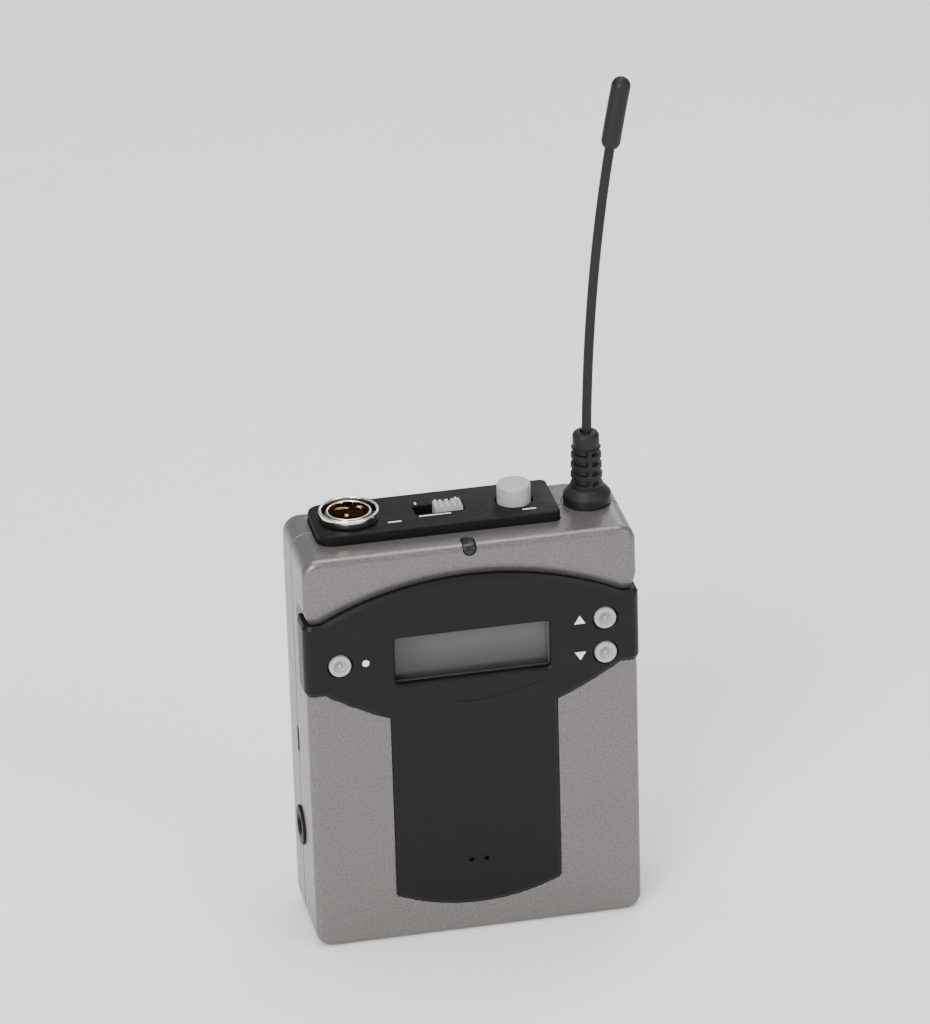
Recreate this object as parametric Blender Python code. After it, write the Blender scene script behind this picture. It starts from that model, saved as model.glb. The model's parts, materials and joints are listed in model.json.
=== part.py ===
"""Wireless bodypack transmitter as an assembly of separate pieces.

The pack stands upright. Its front faces -Y, the antenna is on the +X side of the top, +Z is up,
and the origin is the centre of the case's bottom face. All sizes are in metres.
"""
import math

import bmesh
import bpy
from mathutils import Vector

for old in list(bpy.data.objects):
    bpy.data.objects.remove(old)

mm = 0.001

# Case, the driving sizes
case_width = 65 * mm
case_height = 84 * mm
case_depth = 22.5 * mm
wall = 1.8 * mm
corner_radius = 3.3 * mm
edge_fillet = 1.5 * mm
parting_y = 1.6 * mm
fit_gap = 0.3 * mm

front_y = -case_depth / 2
back_y = case_depth / 2
inner_front_y = front_y + wall
inner_back_y = back_y - wall
inner_side_x = case_width / 2 - wall
inner_top_z = case_height - wall

# Black display panel, a band with a tongue below it that wraps round both sides
panel_proud = 0.4 * mm
panel_thickness = 1.0 * mm
panel_wrap = 6.4 * mm
band_flat = 3.0 * mm
band_top_z = case_height - 13.5 * mm
band_rise = 7.0 * mm
band_bottom_z = case_height - 28.6 * mm
tongue_half_width = 16.4 * mm
tongue_top_z = band_bottom_z - 6.6 * mm
tongue_bottom_z = 9.2 * mm
tongue_sag = 3.4 * mm
vent_spacing = 3.0 * mm
vent_radius = 0.5 * mm
vent_z = 16 * mm

# Display
window_width = 30.5 * mm
window_height = 10 * mm
window_z = band_bottom_z + 5.6 * mm
window_depth = 1.0 * mm
lens_thickness = 0.8 * mm
lcd_margin = 1.75 * mm
lcd_thickness = 2.5 * mm

# Keys in the panel
key_radius = 2.15 * mm
key_proud = 0.4 * mm
key_flange_radius = 3.0 * mm
key_flange_thickness = 0.4 * mm
key_travel = 0.4 * mm
key_dimple_radius = 0.9 * mm
key_side_x = case_width / 2 - 6.5 * mm
key_set_z = band_bottom_z + 6.2 * mm
key_up_z = band_bottom_z + 9.9 * mm
key_down_z = band_bottom_z + 2.5 * mm
tact_side = 4.5 * mm
tact_plunger_radius = 1.0 * mm
tact_plunger_height = 0.4 * mm

# Boards
board_thickness = 1.0 * mm
board_upper_half_width = 28.6 * mm
board_lower_half_width = 24 * mm
board_bottom_z = 4 * mm
board_post_radius = 2.0 * mm
board_post_x = 22 * mm
board_screw_radius = 0.8 * mm
board_screw_head_radius = 1.8 * mm
board_screw_head_height = 0.8 * mm
shield_half_width = 12 * mm
shield_height = 24 * mm
shield_bottom_z = 22 * mm
top_board_thickness = 1.2 * mm
top_board_drop = 7.7 * mm

# Top panel and the controls that pass through it
top_panel_left = -28 * mm
top_panel_right = 19.2 * mm
top_panel_front_y = front_y + 6.05 * mm
top_panel_back_y = back_y - 1.65 * mm
top_panel_proud = 2.0 * mm
top_recess = 1.0 * mm
control_y = (top_panel_front_y + top_panel_back_y) / 2
top_plane_z = case_height + top_panel_proud

socket_x = -20.8 * mm
socket_body_radius = 4.7 * mm
socket_cavity_radius = 4.0 * mm
socket_cavity_depth = 8.4 * mm
socket_stand = 1.4 * mm
socket_ring_width = 0.8 * mm
socket_ring_height = 1.7 * mm
socket_nut_width = 1.6 * mm
socket_nut_height = 2.0 * mm
pin_radius = 0.5 * mm
pin_circle = 2.3 * mm
pin_stand = 3.4 * mm
pin_count = 3

slot_centre_x = -3.3 * mm
slot_length = 9.6 * mm
slot_width = 3.8 * mm
slider_length = 5.4 * mm
slider_stand = 0.9 * mm
slider_travel = 3.6 * mm
slider_flange = 0.9 * mm
slider_flange_height = 1.6 * mm
rib_pitch = 0.9 * mm
rib_depth = 0.4 * mm

button_x = 11.5 * mm
button_radius = 3.3 * mm
button_stand = 3.8 * mm
button_travel = 1.2 * mm
button_flange = 0.7 * mm
button_flange_height = 0.6 * mm
button_pip_radius = 0.8 * mm
switch_half_width = 3.5 * mm

# Status light pipe over the front top edge
pipe_width = 2.5 * mm
pipe_top_length = 3.8 * mm
pipe_front_drop = 2.2 * mm
pipe_thickness = 2.2 * mm

# Antenna
antenna_x = 25.9 * mm
antenna_y = 2.2 * mm
boot_flange_radius = 4.65 * mm
boot_flange_height = 3.0 * mm
boot_neck_radius = 3.15 * mm
boot_neck_top_radius = 2.9 * mm
boot_neck_height = 8.2 * mm
boot_collar_radius = 2.6 * mm
boot_collar_height = 3.2 * mm
boot_groove_count = 4
boot_groove_depth = 0.5 * mm
whip_radius = 0.95 * mm
whip_lean = 8.7 * mm
whip_lean_power = 2.2
antenna_length = 87 * mm
tip_radius = 1.8 * mm
tip_length = 14.5 * mm
stud_radius = 2.5 * mm
stud_length = 6.4 * mm
antenna_nut_flat = 4.2 * mm
antenna_nut_height = 2.6 * mm

# Two AA cells and what holds them
cell_radius = 7.25 * mm
cell_length = 50.5 * mm
cell_nub_radius = 2.75 * mm
cell_nub_height = 1.3 * mm
cell_gap = 0.6 * mm
spring_length = 3.6 * mm
spring_wire = 0.35 * mm
spring_radius = 2.6 * mm
spring_turns = 4
spring_points = 10
contact_thickness = 0.4 * mm
tray_wall = 1.2 * mm
door_thickness = 1.4 * mm
door_half_width = 16 * mm
door_grip_count = 5
door_grip_pitch = 1.6 * mm

# Charging jack and the pry notches on the parting line
jack_z = 21 * mm
jack_body_radius = 3.3 * mm
jack_rim_radius = 4.0 * mm
jack_rim_proud = 0.5 * mm
jack_bore_radius = 1.75 * mm
jack_bore_depth = 7 * mm
jack_length = 10 * mm
notch_z = 40 * mm
notch_height = 5.5 * mm
notch_width = 2.4 * mm
notch_depth = 0.9 * mm

# Belt clip of spring wire
clip_wire_radius = 0.9 * mm
clip_pivot_z = case_height - 4 * mm
clip_pivot_out = 2.35 * mm
clip_leg_x = case_width / 2 - 4.5 * mm
clip_gap = 5.0 * mm
clip_pinch = 0.6 * mm
clip_bottom_z = 24 * mm
clip_tip_length = 6.2 * mm
clip_bend = 3.0 * mm
lug_width = 4.4 * mm
lug_half_height = 2.2 * mm

# Case screws
screw_radius = 1.0 * mm
screw_head_radius = 2.0 * mm
screw_head_height = 1.2 * mm
screw_x = case_width / 2 - 4.0 * mm
screw_low_z = 6 * mm
screw_high_z = band_bottom_z - 5.4 * mm
boss_radius = 2.6 * mm
screw_reach = 6 * mm

round_sides = 24
boss_sides = 14
small_sides = 10


# ---------- materials ----------

def finish(name, colour, roughness, metallic=0.0):
    material = bpy.data.materials.new(name)
    material.use_nodes = True
    shader = material.node_tree.nodes["Principled BSDF"]
    shader.inputs["Base Color"].default_value = (*colour, 1.0)
    shader.inputs["Roughness"].default_value = roughness
    shader.inputs["Metallic"].default_value = metallic
    material.diffuse_color = (*colour, 1.0)
    return material


shell_paint = finish("satin_grey_paint", (0.26, 0.25, 0.24), 0.42, 0.35)
panel_black = finish("black_abs", (0.022, 0.022, 0.023), 0.38)
top_black = finish("black_textured_abs", (0.014, 0.014, 0.015), 0.5)
key_grey = finish("light_grey_keycap", (0.52, 0.51, 0.50), 0.45)
lens_clear = finish("smoked_acrylic", (0.16, 0.17, 0.165), 0.12)
lcd_grey = finish("lcd_glass", (0.2, 0.22, 0.2), 0.2)
pipe_smoke = finish("smoked_light_pipe", (0.03, 0.03, 0.035), 0.15)
rubber = finish("antenna_rubber", (0.03, 0.03, 0.032), 0.6)
chrome = finish("bright_chrome", (0.75, 0.74, 0.72), 0.12, 1.0)
brass = finish("gilt_brass", (0.72, 0.53, 0.25), 0.28, 1.0)
steel = finish("zinc_plated_steel", (0.6, 0.6, 0.58), 0.32, 1.0)
insulator = finish("socket_insulator", (0.05, 0.03, 0.022), 0.5)
board_green = finish("circuit_board", (0.02, 0.11, 0.05), 0.4)
tin = finish("tinned_shield", (0.55, 0.55, 0.53), 0.35, 1.0)
switch_black = finish("switch_housing", (0.03, 0.03, 0.03), 0.45)
cell_jacket = finish("cell_jacket", (0.07, 0.12, 0.22), 0.35, 0.2)
tray_black = finish("tray_plastic", (0.02, 0.02, 0.02), 0.55)


# ---------- solids ----------

def make(name, verts, faces, material, origin=(0, 0, 0)):
    """One closed mesh object whose origin is the given point."""
    base = Vector(origin)
    mesh = bpy.data.meshes.new(name)
    mesh.from_pydata([tuple(Vector(v) - base) for v in verts], [], faces)
    work = bmesh.new()
    work.from_mesh(mesh)
    bmesh.ops.recalc_face_normals(work, faces=work.faces)
    work.to_mesh(mesh)
    work.free()
    mesh.materials.append(material)
    mesh.shade_smooth()
    mesh.set_sharp_from_angle(angle=math.radians(35))
    piece = bpy.data.objects.new(name, mesh)
    piece.location = base
    bpy.context.scene.collection.objects.link(piece)
    return piece


def tool(piece):
    """Marks a piece as a cutter or a guide, which isn't part of the model."""
    piece.hide_render = True
    piece.display_type = 'WIRE'
    return piece


def combine(target, other, operation):
    change = target.modifiers.new(other.name, 'BOOLEAN')
    change.operation = operation
    change.object = tool(other)


def cut(target, *others):
    for other in others:
        combine(target, other, 'DIFFERENCE')


def join(target, *others):
    for other in others:
        combine(target, other, 'UNION')


def loft(rings, closed=False):
    """Vertices and faces of a skin through rings of equal length, capped unless it closes on itself."""
    count = len(rings[0])
    verts = [point for ring in rings for point in ring]
    faces = []
    steps = len(rings) if closed else len(rings) - 1
    for i in range(steps):
        this, following = i * count, (i + 1) % len(rings) * count
        for j in range(count):
            k = (j + 1) % count
            faces.append((this + j, this + k, following + k, following + j))
    if not closed:
        last = (len(rings) - 1) * count
        faces.append(tuple(range(count)))
        faces.append(tuple(range(last, last + count)))
    return verts, faces


def arc(start, end, bulge, steps):
    """Points from start to end on an arc that bulges to the right of its direction of travel."""
    start, end = Vector(start), Vector(end)
    half = (end - start).length / 2
    along = (end - start).normalized()
    right = Vector((along.y, -along.x))
    radius = (half * half + bulge * bulge) / (2 * bulge)
    centre = (start + end) / 2 + right * (bulge - radius)
    reach = math.asin(half / radius)
    points = []
    for i in range(steps + 1):
        turn = -reach + 2 * reach * i / steps
        points.append(centre + along * radius * math.sin(turn) + right * radius * math.cos(turn))
    return [tuple(point) for point in points]


def rounded_rectangle(left, right, low, high, radii, steps=4):
    """Counter-clockwise outline, with radii from the lower left corner round."""
    corners = [(left, low, 1, 1, 180), (right, low, -1, 1, 270),
               (right, high, -1, -1, 0), (left, high, 1, -1, 90)]
    outline = []
    for (x, y, in_x, in_y, start), radius in zip(corners, radii):
        centre_x, centre_y = x + in_x * radius, y + in_y * radius
        for i in range(steps + 1):
            turn = math.radians(start + 90 * i / steps)
            outline.append((centre_x + radius * math.cos(turn), centre_y + radius * math.sin(turn)))
    return outline


def grown(outline, distance):
    """A counter-clockwise outline moved outwards by a distance, with mitred corners."""
    points = [Vector(p) for p in outline]
    result = []
    for i, point in enumerate(points):
        before = (point - points[i - 1]).normalized()
        after = (points[(i + 1) % len(points)] - point).normalized()
        out_before = Vector((before.y, -before.x))
        out_after = Vector((after.y, -after.x))
        mitre = (out_before + out_after).normalized()
        result.append(tuple(point + mitre * distance / max(mitre.dot(out_after), 0.3)))
    return result


def front_prism(name, outline, near_y, far_y, material=None, origin=(0, 0, 0)):
    """An outline in X and Z, extruded along Y."""
    rings = [[(x, y, z) for x, z in outline] for y in (near_y, far_y)]
    return make(name, *loft(rings), material or panel_black, origin)


def upright_prism(name, outline, low, high, material=None, origin=(0, 0, 0)):
    """An outline in X and Y, extruded along Z."""
    rings = [[(x, y, z) for x, y in outline] for z in (low, high)]
    return make(name, *loft(rings), material or panel_black, origin)


def block(name, x, y, z, material=None, origin=(0, 0, 0)):
    """A box from pairs of limits."""
    outline = [(x[0], y[0]), (x[1], y[0]), (x[1], y[1]), (x[0], y[1])]
    return upright_prism(name, outline, z[0], z[1], material, origin)


def turned(name, profile, centre, axis='Z', sides=round_sides, material=None, closed=False, origin=None):
    """A profile of (radius, height) pairs turned about an axis through the centre."""
    to_world = {
        'X': lambda a, b, h: (h, a, b),
        'Y': lambda a, b, h: (a, h, b),
        'Z': lambda a, b, h: (a, b, h),
    }[axis]
    tiny = 0.02 * mm
    rings = []
    for radius, height in profile:
        r = max(radius, tiny)
        ring = []
        for i in range(sides):
            turn = 2 * math.pi * i / sides
            x, y, z = to_world(r * math.cos(turn), r * math.sin(turn), height)
            ring.append((centre[0] + x, centre[1] + y, centre[2] + z))
        rings.append(ring)
    return make(name, *loft(rings, closed), material or panel_black, origin or (0, 0, 0))


def rod(name, radius, centre, low, high, axis='Z', sides=round_sides, material=None):
    return turned(name, [(radius, low), (radius, high)], centre, axis, sides, material)


def swept(name, path, radii, material, sides=12, origin=(0, 0, 0)):
    """A round section carried along a path, kept from twisting."""
    points = [Vector(p) for p in path]
    last = len(points) - 1
    tangents = [(points[min(i + 1, last)] - points[max(i - 1, 0)]).normalized() for i in range(last + 1)]
    across = tangents[0].orthogonal().normalized()
    rings = []
    for point, tangent, radius in zip(points, tangents, radii):
        across = (across - tangent * across.dot(tangent)).normalized()
        other = tangent.cross(across)
        ring = []
        for i in range(sides):
            turn = 2 * math.pi * i / sides
            ring.append(tuple(point + (across * math.cos(turn) + other * math.sin(turn)) * radius))
        rings.append(ring)
    return make(name, *loft(rings), material, origin)


# ---------- the case's own outline ----------

def case_ring(y, inset):
    radius = max(corner_radius - inset, 0.4 * mm)
    side = case_width / 2 - inset
    outline = rounded_rectangle(-side, side, inset, case_height - inset, [radius] * 4)
    return [(x, y, z) for x, z in outline]


def fillet(radius, steps=3):
    """Pairs of depth and inset from a flat face round to the side."""
    if radius <= 0:
        return [(0.0, 0.0)]
    quarter = [math.pi / 2 * i / steps for i in range(steps + 1)]
    return [(radius * (1 - math.cos(a)), radius * (1 - math.sin(a))) for a in quarter]


def case_block(name, offset):
    """The solid inside the case's outer skin moved outwards by an offset."""
    rounding = fillet(edge_fillet + offset)
    rings = [case_ring(front_y - offset + depth, inset - offset) for depth, inset in rounding]
    rings += [case_ring(back_y + offset - depth, inset - offset) for depth, inset in reversed(rounding)]
    return tool(make(name, *loft(rings), panel_black))


def half_shell(name, outer_y, direction, rim_y, material):
    """A cup from its rounded outer face to its rim at the parting line, with an even wall."""
    rings = [case_ring(outer_y + direction * depth, inset) for depth, inset in fillet(edge_fillet)]
    rings += [case_ring(rim_y, 0), case_ring(rim_y, wall), case_ring(outer_y + direction * wall, wall)]
    return make(name, *loft(rings), material)


# ---------- shells ----------

front_rim_y = parting_y - fit_gap / 2
rear_rim_y = parting_y + fit_gap / 2
front_shell = half_shell("front_shell", front_y, 1, front_rim_y, shell_paint)
rear_shell = half_shell("rear_shell", back_y, -1, rear_rim_y, shell_paint)

screw_places = [(side * screw_x, z) for side in (-1, 1) for z in (screw_low_z, screw_high_z)]
screw_bore = screw_radius + fit_gap
head_seat_y = back_y - screw_head_height - fit_gap
into_wall = 0.5 * mm

for number, (x, z) in enumerate(screw_places, 1):
    join(front_shell, rod(f"front_boss_{number}", boss_radius, (x, 0, z),
                          inner_front_y - into_wall, front_rim_y, 'Y', boss_sides))
    join(rear_shell, rod(f"rear_boss_{number}", boss_radius, (x, 0, z),
                         rear_rim_y, inner_back_y + into_wall, 'Y', boss_sides))
    shaft_end_y = front_rim_y - screw_reach
    cut(front_shell, rod(f"front_screw_hole_{number}", screw_bore, (x, 0, z),
                         shaft_end_y - fit_gap, front_rim_y + 1 * mm, 'Y', small_sides))
    cut(rear_shell, rod(f"rear_screw_hole_{number}", screw_bore, (x, 0, z),
                        rear_rim_y - 1 * mm, back_y, 'Y', small_sides))
    cut(rear_shell, rod(f"screw_head_seat_{number}", screw_head_radius + fit_gap, (x, 0, z),
                        head_seat_y, back_y + 1 * mm, 'Y', boss_sides))
    turned(f"case_screw_{number}",
           [(screw_radius, shaft_end_y), (screw_radius, head_seat_y + fit_gap),
            (screw_head_radius, head_seat_y + fit_gap), (screw_head_radius, back_y - 0.4 * mm),
            (screw_head_radius - 0.3 * mm, back_y - 0.15 * mm),
            (0.9 * mm, back_y - 0.15 * mm), (0.9 * mm, back_y - 0.8 * mm)],
           (x, 0, z), 'Y', 12, steel)


# ---------- main board and its posts ----------

lcd_front_y = inner_front_y + fit_gap
board_front_y = lcd_front_y + lcd_thickness + fit_gap
board_back_y = board_front_y + board_thickness
board_step_z = band_bottom_z - 0.9 * mm
top_board_top_z = inner_top_z - top_board_drop
top_board_low_z = top_board_top_z - top_board_thickness
board_top_z = top_board_low_z - 0.5 * mm
post_high_z = board_top_z - 2.3 * mm
post_low_z = board_bottom_z + 6 * mm

board_outline = [(-board_lower_half_width, board_bottom_z), (board_lower_half_width, board_bottom_z),
                 (board_lower_half_width, board_step_z), (board_upper_half_width, board_step_z),
                 (board_upper_half_width, board_top_z), (-board_upper_half_width, board_top_z),
                 (-board_upper_half_width, board_step_z), (-board_lower_half_width, board_step_z)]
main_board = front_prism("main_board", board_outline, board_front_y, board_back_y, board_green)

post_places = [(side * board_post_x, z) for side in (-1, 1) for z in (post_low_z, post_high_z)]
for number, (x, z) in enumerate(post_places, 1):
    join(front_shell, rod(f"board_post_{number}", board_post_radius, (x, 0, z),
                          inner_front_y - into_wall, board_front_y - fit_gap, 'Y', boss_sides))
    hole = rod(f"board_hole_{number}", board_screw_radius + fit_gap, (x, 0, z),
               inner_front_y + 0.2 * mm, board_back_y + 1 * mm, 'Y', small_sides)
    cut(front_shell, hole)
    cut(main_board, hole)
    turned(f"board_screw_{number}",
           [(board_screw_radius, inner_front_y + 0.6 * mm), (board_screw_radius, board_back_y + fit_gap),
            (board_screw_head_radius, board_back_y + fit_gap),
            (board_screw_head_radius, board_back_y + fit_gap + board_screw_head_height)],
           (x, 0, z), 'Y', 14, steel)

block("rf_shield", (-shield_half_width, shield_half_width),
      (inner_front_y + 0.5 * mm, board_front_y - fit_gap),
      (shield_bottom_z, shield_bottom_z + shield_height), tin)


# ---------- display panel, window, lens and LCD ----------

def panel_outline():
    """Band and tongue in X and Z, counter-clockwise from the tongue's lower left corner."""
    side = case_width / 2 + 2 * mm
    bend = case_width / 2 - band_flat
    corner = 1.2 * mm
    points = arc((-tongue_half_width + corner, tongue_bottom_z - corner * 0.9),
                 (tongue_half_width - corner, tongue_bottom_z - corner * 0.9), tongue_sag - corner * 0.9, 10)
    points.append((tongue_half_width, tongue_bottom_z + 0.4 * mm))
    points += arc((tongue_half_width, tongue_top_z), (bend - 0.5 * mm, band_bottom_z), 0.35 * mm, 5)
    points += [(side, band_bottom_z), (side, band_top_z)]
    points += arc((bend, band_top_z), (-bend, band_top_z), band_rise, 16)
    points += [(-side, band_top_z), (-side, band_bottom_z)]
    points += arc((-bend + 0.5 * mm, band_bottom_z), (-tongue_half_width, tongue_top_z), 0.35 * mm, 5)
    points.append((-tongue_half_width, tongue_bottom_z + 0.4 * mm))
    return points


panel_end_y = front_y + panel_wrap
display_panel = front_prism("display_panel", panel_outline(), front_y - 2 * mm, panel_end_y, panel_black)
combine(display_panel, case_block("panel_outer_limit", panel_proud), 'INTERSECT')
cut(display_panel, case_block("panel_inner_limit", panel_proud - panel_thickness))

panel_recess = front_prism("panel_recess", grown(panel_outline(), fit_gap),
                           front_y - 2 * mm, panel_end_y + fit_gap)
cut(panel_recess, case_block("recess_floor", panel_proud - panel_thickness - fit_gap))
cut(front_shell, panel_recess)

window = rounded_rectangle(-window_width / 2, window_width / 2, window_z - window_height / 2,
                           window_z + window_height / 2, [0.8 * mm] * 4, 3)
window_cut = front_prism("window_cut", window, front_y - 2 * mm, inner_front_y + 1 * mm)
cut(display_panel, window_cut)
cut(front_shell, window_cut)
lens_front_y = front_y - panel_proud + window_depth
front_prism("display_lens", grown(window, -fit_gap), lens_front_y, lens_front_y + lens_thickness, lens_clear)
block("lcd_module", (-window_width / 2 - lcd_margin, window_width / 2 + lcd_margin),
      (lcd_front_y, lcd_front_y + lcd_thickness),
      (window_z - window_height / 2 - lcd_margin, window_z + window_height / 2 + lcd_margin), lcd_grey)

for side in (-1, 1):
    cut(display_panel, rod(f"vent_{side + 2}", vent_radius, (side * vent_spacing / 2, 0, vent_z),
                           front_y - 2 * mm, inner_front_y, 'Y', small_sides))


# ---------- keys and the switches behind them ----------

def key(name, x, z):
    """A round cap with a dimple and a retaining flange, over a tact switch on the board."""
    cap_y = front_y - panel_proud - key_proud
    flange_y = inner_front_y + fit_gap
    flange_back_y = flange_y + key_flange_thickness
    profile = [(key_flange_radius, flange_back_y), (key_flange_radius, flange_y), (key_radius, flange_y),
               (key_radius, cap_y + 0.3 * mm), (key_radius - 0.3 * mm, cap_y),
               (key_dimple_radius, cap_y), (key_dimple_radius - 0.1 * mm, cap_y + 0.5 * mm)]
    turned(name, profile, (x, 0, z), 'Y', 18, key_grey, origin=(x, cap_y, z))
    hole = rod(f"{name}_hole", key_radius + fit_gap, (x, 0, z), front_y - 2 * mm, inner_front_y + 1 * mm,
               'Y', 18)
    cut(display_panel, hole)
    cut(front_shell, hole)

    tip_y = flange_back_y + key_travel + 0.1 * mm
    body_y = tip_y + tact_plunger_height
    half = tact_side / 2
    switch = block(name.replace("key", "tact_switch"), (x - half, x + half),
                   (body_y, board_front_y - fit_gap), (z - half, z + half), switch_black)
    join(switch, rod(f"{name}_plunger", tact_plunger_radius, (x, 0, z), tip_y, body_y + 0.2 * mm,
                     'Y', small_sides))


key("key_set", -key_side_x, key_set_z)
key("key_up", key_side_x, key_up_z)
key("key_down", key_side_x, key_down_z)


# ---------- status light pipe ----------

pipe_limits = {"x": (-pipe_width / 2, pipe_width / 2),
               "y": (front_y - 2 * mm, front_y + pipe_top_length),
               "z": (case_height - pipe_front_drop, case_height + 2 * mm)}
light_pipe = block("status_light_pipe", pipe_limits["x"], pipe_limits["y"], pipe_limits["z"], pipe_smoke)
combine(light_pipe, case_block("pipe_outer_limit", 0), 'INTERSECT')
cut(light_pipe, case_block("pipe_inner_limit", -pipe_thickness))
cut(front_shell, block("pipe_slot", (pipe_limits["x"][0] - fit_gap, pipe_limits["x"][1] + fit_gap),
                       (pipe_limits["y"][0], pipe_limits["y"][1] + fit_gap),
                       (pipe_limits["z"][0] - fit_gap, pipe_limits["z"][1])))


# ---------- top panel ----------

top_outline = rounded_rectangle(top_panel_left, top_panel_right, top_panel_front_y, top_panel_back_y,
                                [3 * mm, 1.2 * mm, 1.2 * mm, 3 * mm])
top_seat_z = case_height - top_recess
top_panel = upright_prism("top_panel", top_outline, top_seat_z + fit_gap, top_plane_z, top_black)
rim = top_panel.modifiers.new("edge", 'BEVEL')
rim.width = 0.35 * mm
rim.segments = 2
rim.limit_method = 'ANGLE'
top_seat = upright_prism("top_seat", grown(top_outline, fit_gap), top_seat_z, top_plane_z + 2 * mm)
cut(front_shell, top_seat)
cut(rear_shell, top_seat)


def top_hole(cutter):
    """Opens one cutter through the top panel and both shells."""
    cut(top_panel, cutter)
    cut(front_shell, cutter)
    cut(rear_shell, cutter)


through_top = (inner_top_z - 1 * mm, top_plane_z + 1 * mm)

# microphone socket
socket_centre = (socket_x, control_y, 0)
socket_top_z = top_plane_z + socket_stand
socket_floor_z = socket_top_z - socket_cavity_depth
socket_low_z = top_board_top_z + fit_gap
top_hole(rod("socket_hole", socket_body_radius + fit_gap, socket_centre, *through_top))
socket_body = turned("mic_socket_body",
                     [(socket_body_radius, socket_low_z), (socket_body_radius, socket_top_z - 0.3 * mm),
                      (socket_body_radius - 0.3 * mm, socket_top_z),
                      (socket_cavity_radius, socket_top_z), (socket_cavity_radius, socket_floor_z)],
                     socket_centre, 'Z', round_sides, insulator)
ring_in = socket_body_radius + fit_gap
ring_out = ring_in + socket_ring_width
ring_low_z = top_plane_z + fit_gap
turned("mic_socket_ring",
       [(ring_in, ring_low_z), (ring_out, ring_low_z), (ring_out, ring_low_z + socket_ring_height - 0.3 * mm),
        (ring_out - 0.3 * mm, ring_low_z + socket_ring_height), (ring_in, ring_low_z + socket_ring_height)],
       socket_centre, 'Z', 32, chrome, closed=True)
nut_top_z = inner_top_z - fit_gap
turned("mic_socket_nut",
       [(ring_in, nut_top_z - socket_nut_height), (ring_in + socket_nut_width, nut_top_z - socket_nut_height),
        (ring_in + socket_nut_width, nut_top_z), (ring_in, nut_top_z)],
       socket_centre, 'Z', 16, steel, closed=True)

for number in range(1, pin_count + 1):
    turn = math.radians(90 + 120 * number)
    pin_centre = (socket_x + pin_circle * math.cos(turn), control_y + pin_circle * math.sin(turn), 0)
    cut(socket_body, rod(f"pin_hole_{number}", pin_radius + fit_gap, pin_centre,
                         socket_low_z - 1 * mm, socket_floor_z + 1 * mm, 'Z', small_sides))
    pin_top_z = socket_floor_z + pin_stand
    turned(f"mic_pin_{number}",
           [(pin_radius, socket_low_z), (pin_radius, pin_top_z - 0.3 * mm), (0.2 * mm, pin_top_z)],
           pin_centre, 'Z', 12, brass)

# level slider
slot_right_x = slot_centre_x + slot_length / 2
slot_left_x = slot_centre_x - slot_length / 2
slot_y = (control_y - slot_width / 2, control_y + slot_width / 2)
top_hole(block("slider_slot", (slot_left_x, slot_right_x), slot_y, through_top))
slider_x = slot_right_x - fit_gap - slider_length / 2
slider_top_z = top_plane_z + slider_stand
flange_top_z = inner_top_z - fit_gap
slider_origin = (slider_x, control_y, slider_top_z)
slider = block("level_slider", (slider_x - slider_length / 2, slider_x + slider_length / 2),
               (slot_y[0] + fit_gap, slot_y[1] - fit_gap), (flange_top_z - 0.2 * mm, slider_top_z),
               key_grey, slider_origin)
join(slider, block("slider_flange", (slider_x - slider_length / 2 - slider_flange,
                                     slider_x + slider_length / 2 + slider_flange),
                   (slot_y[0] - slider_flange, slot_y[1] + slider_flange),
                   (flange_top_z - slider_flange_height, flange_top_z)))
for number in range(-2, 3):
    rib_x = slider_x + number * rib_pitch
    cut(slider, block(f"slider_groove_{number + 3}", (rib_x - rib_pitch / 4, rib_x + rib_pitch / 4),
                      (slot_y[0], slot_y[1]), (slider_top_z - rib_depth, slider_top_z + 1 * mm)))
block("slide_switch_body", (slot_left_x - 1.2 * mm, slot_right_x + 1.2 * mm),
      (slot_y[0] - 1.5 * mm, slot_y[1] + 1.5 * mm),
      (top_board_top_z + fit_gap, flange_top_z - slider_flange_height - fit_gap), tin)

# power button
button_centre = (button_x, control_y, 0)
button_top_z = top_plane_z + button_stand
top_hole(rod("button_hole", button_radius + fit_gap, button_centre, *through_top))
button_low_z = flange_top_z - button_flange_height
turned("power_button",
       [(button_radius + button_flange, button_low_z), (button_radius + button_flange, flange_top_z),
        (button_radius, flange_top_z), (button_radius, button_top_z - 0.9 * mm),
        (button_radius - 0.25 * mm, button_top_z - 0.35 * mm), (button_radius - 0.9 * mm, button_top_z - 0.1 * mm),
        (button_pip_radius, button_top_z), (button_pip_radius, button_top_z - 0.4 * mm)],
       button_centre, 'Z', round_sides, key_grey, origin=(button_x, control_y, button_top_z))
plunger_top_z = button_low_z - button_travel - fit_gap
power_switch = block("power_switch_body", (button_x - switch_half_width, button_x + switch_half_width),
                     (control_y - switch_half_width, control_y + switch_half_width),
                     (top_board_top_z + fit_gap, plunger_top_z - 0.8 * mm), switch_black)
join(power_switch, rod("power_plunger", 1.5 * mm, button_centre, plunger_top_z - 1 * mm, plunger_top_z,
                       'Z', small_sides))

block("top_board", (top_panel_left - 0.5 * mm, top_panel_right), (top_panel_front_y + 1.2 * mm,
                                                                  top_panel_back_y - 0.8 * mm),
      (top_board_low_z, top_board_top_z), board_green)


# ---------- antenna ----------

def whip_point(height):
    """The whip's centre line, leaning to +X by a power of its height over the case's top."""
    lean = whip_lean * (height / antenna_length) ** whip_lean_power
    return (antenna_x + lean, antenna_y, case_height + height)


def span(low, high, count):
    return [low + (high - low) * i / count for i in range(count + 1)]


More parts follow.
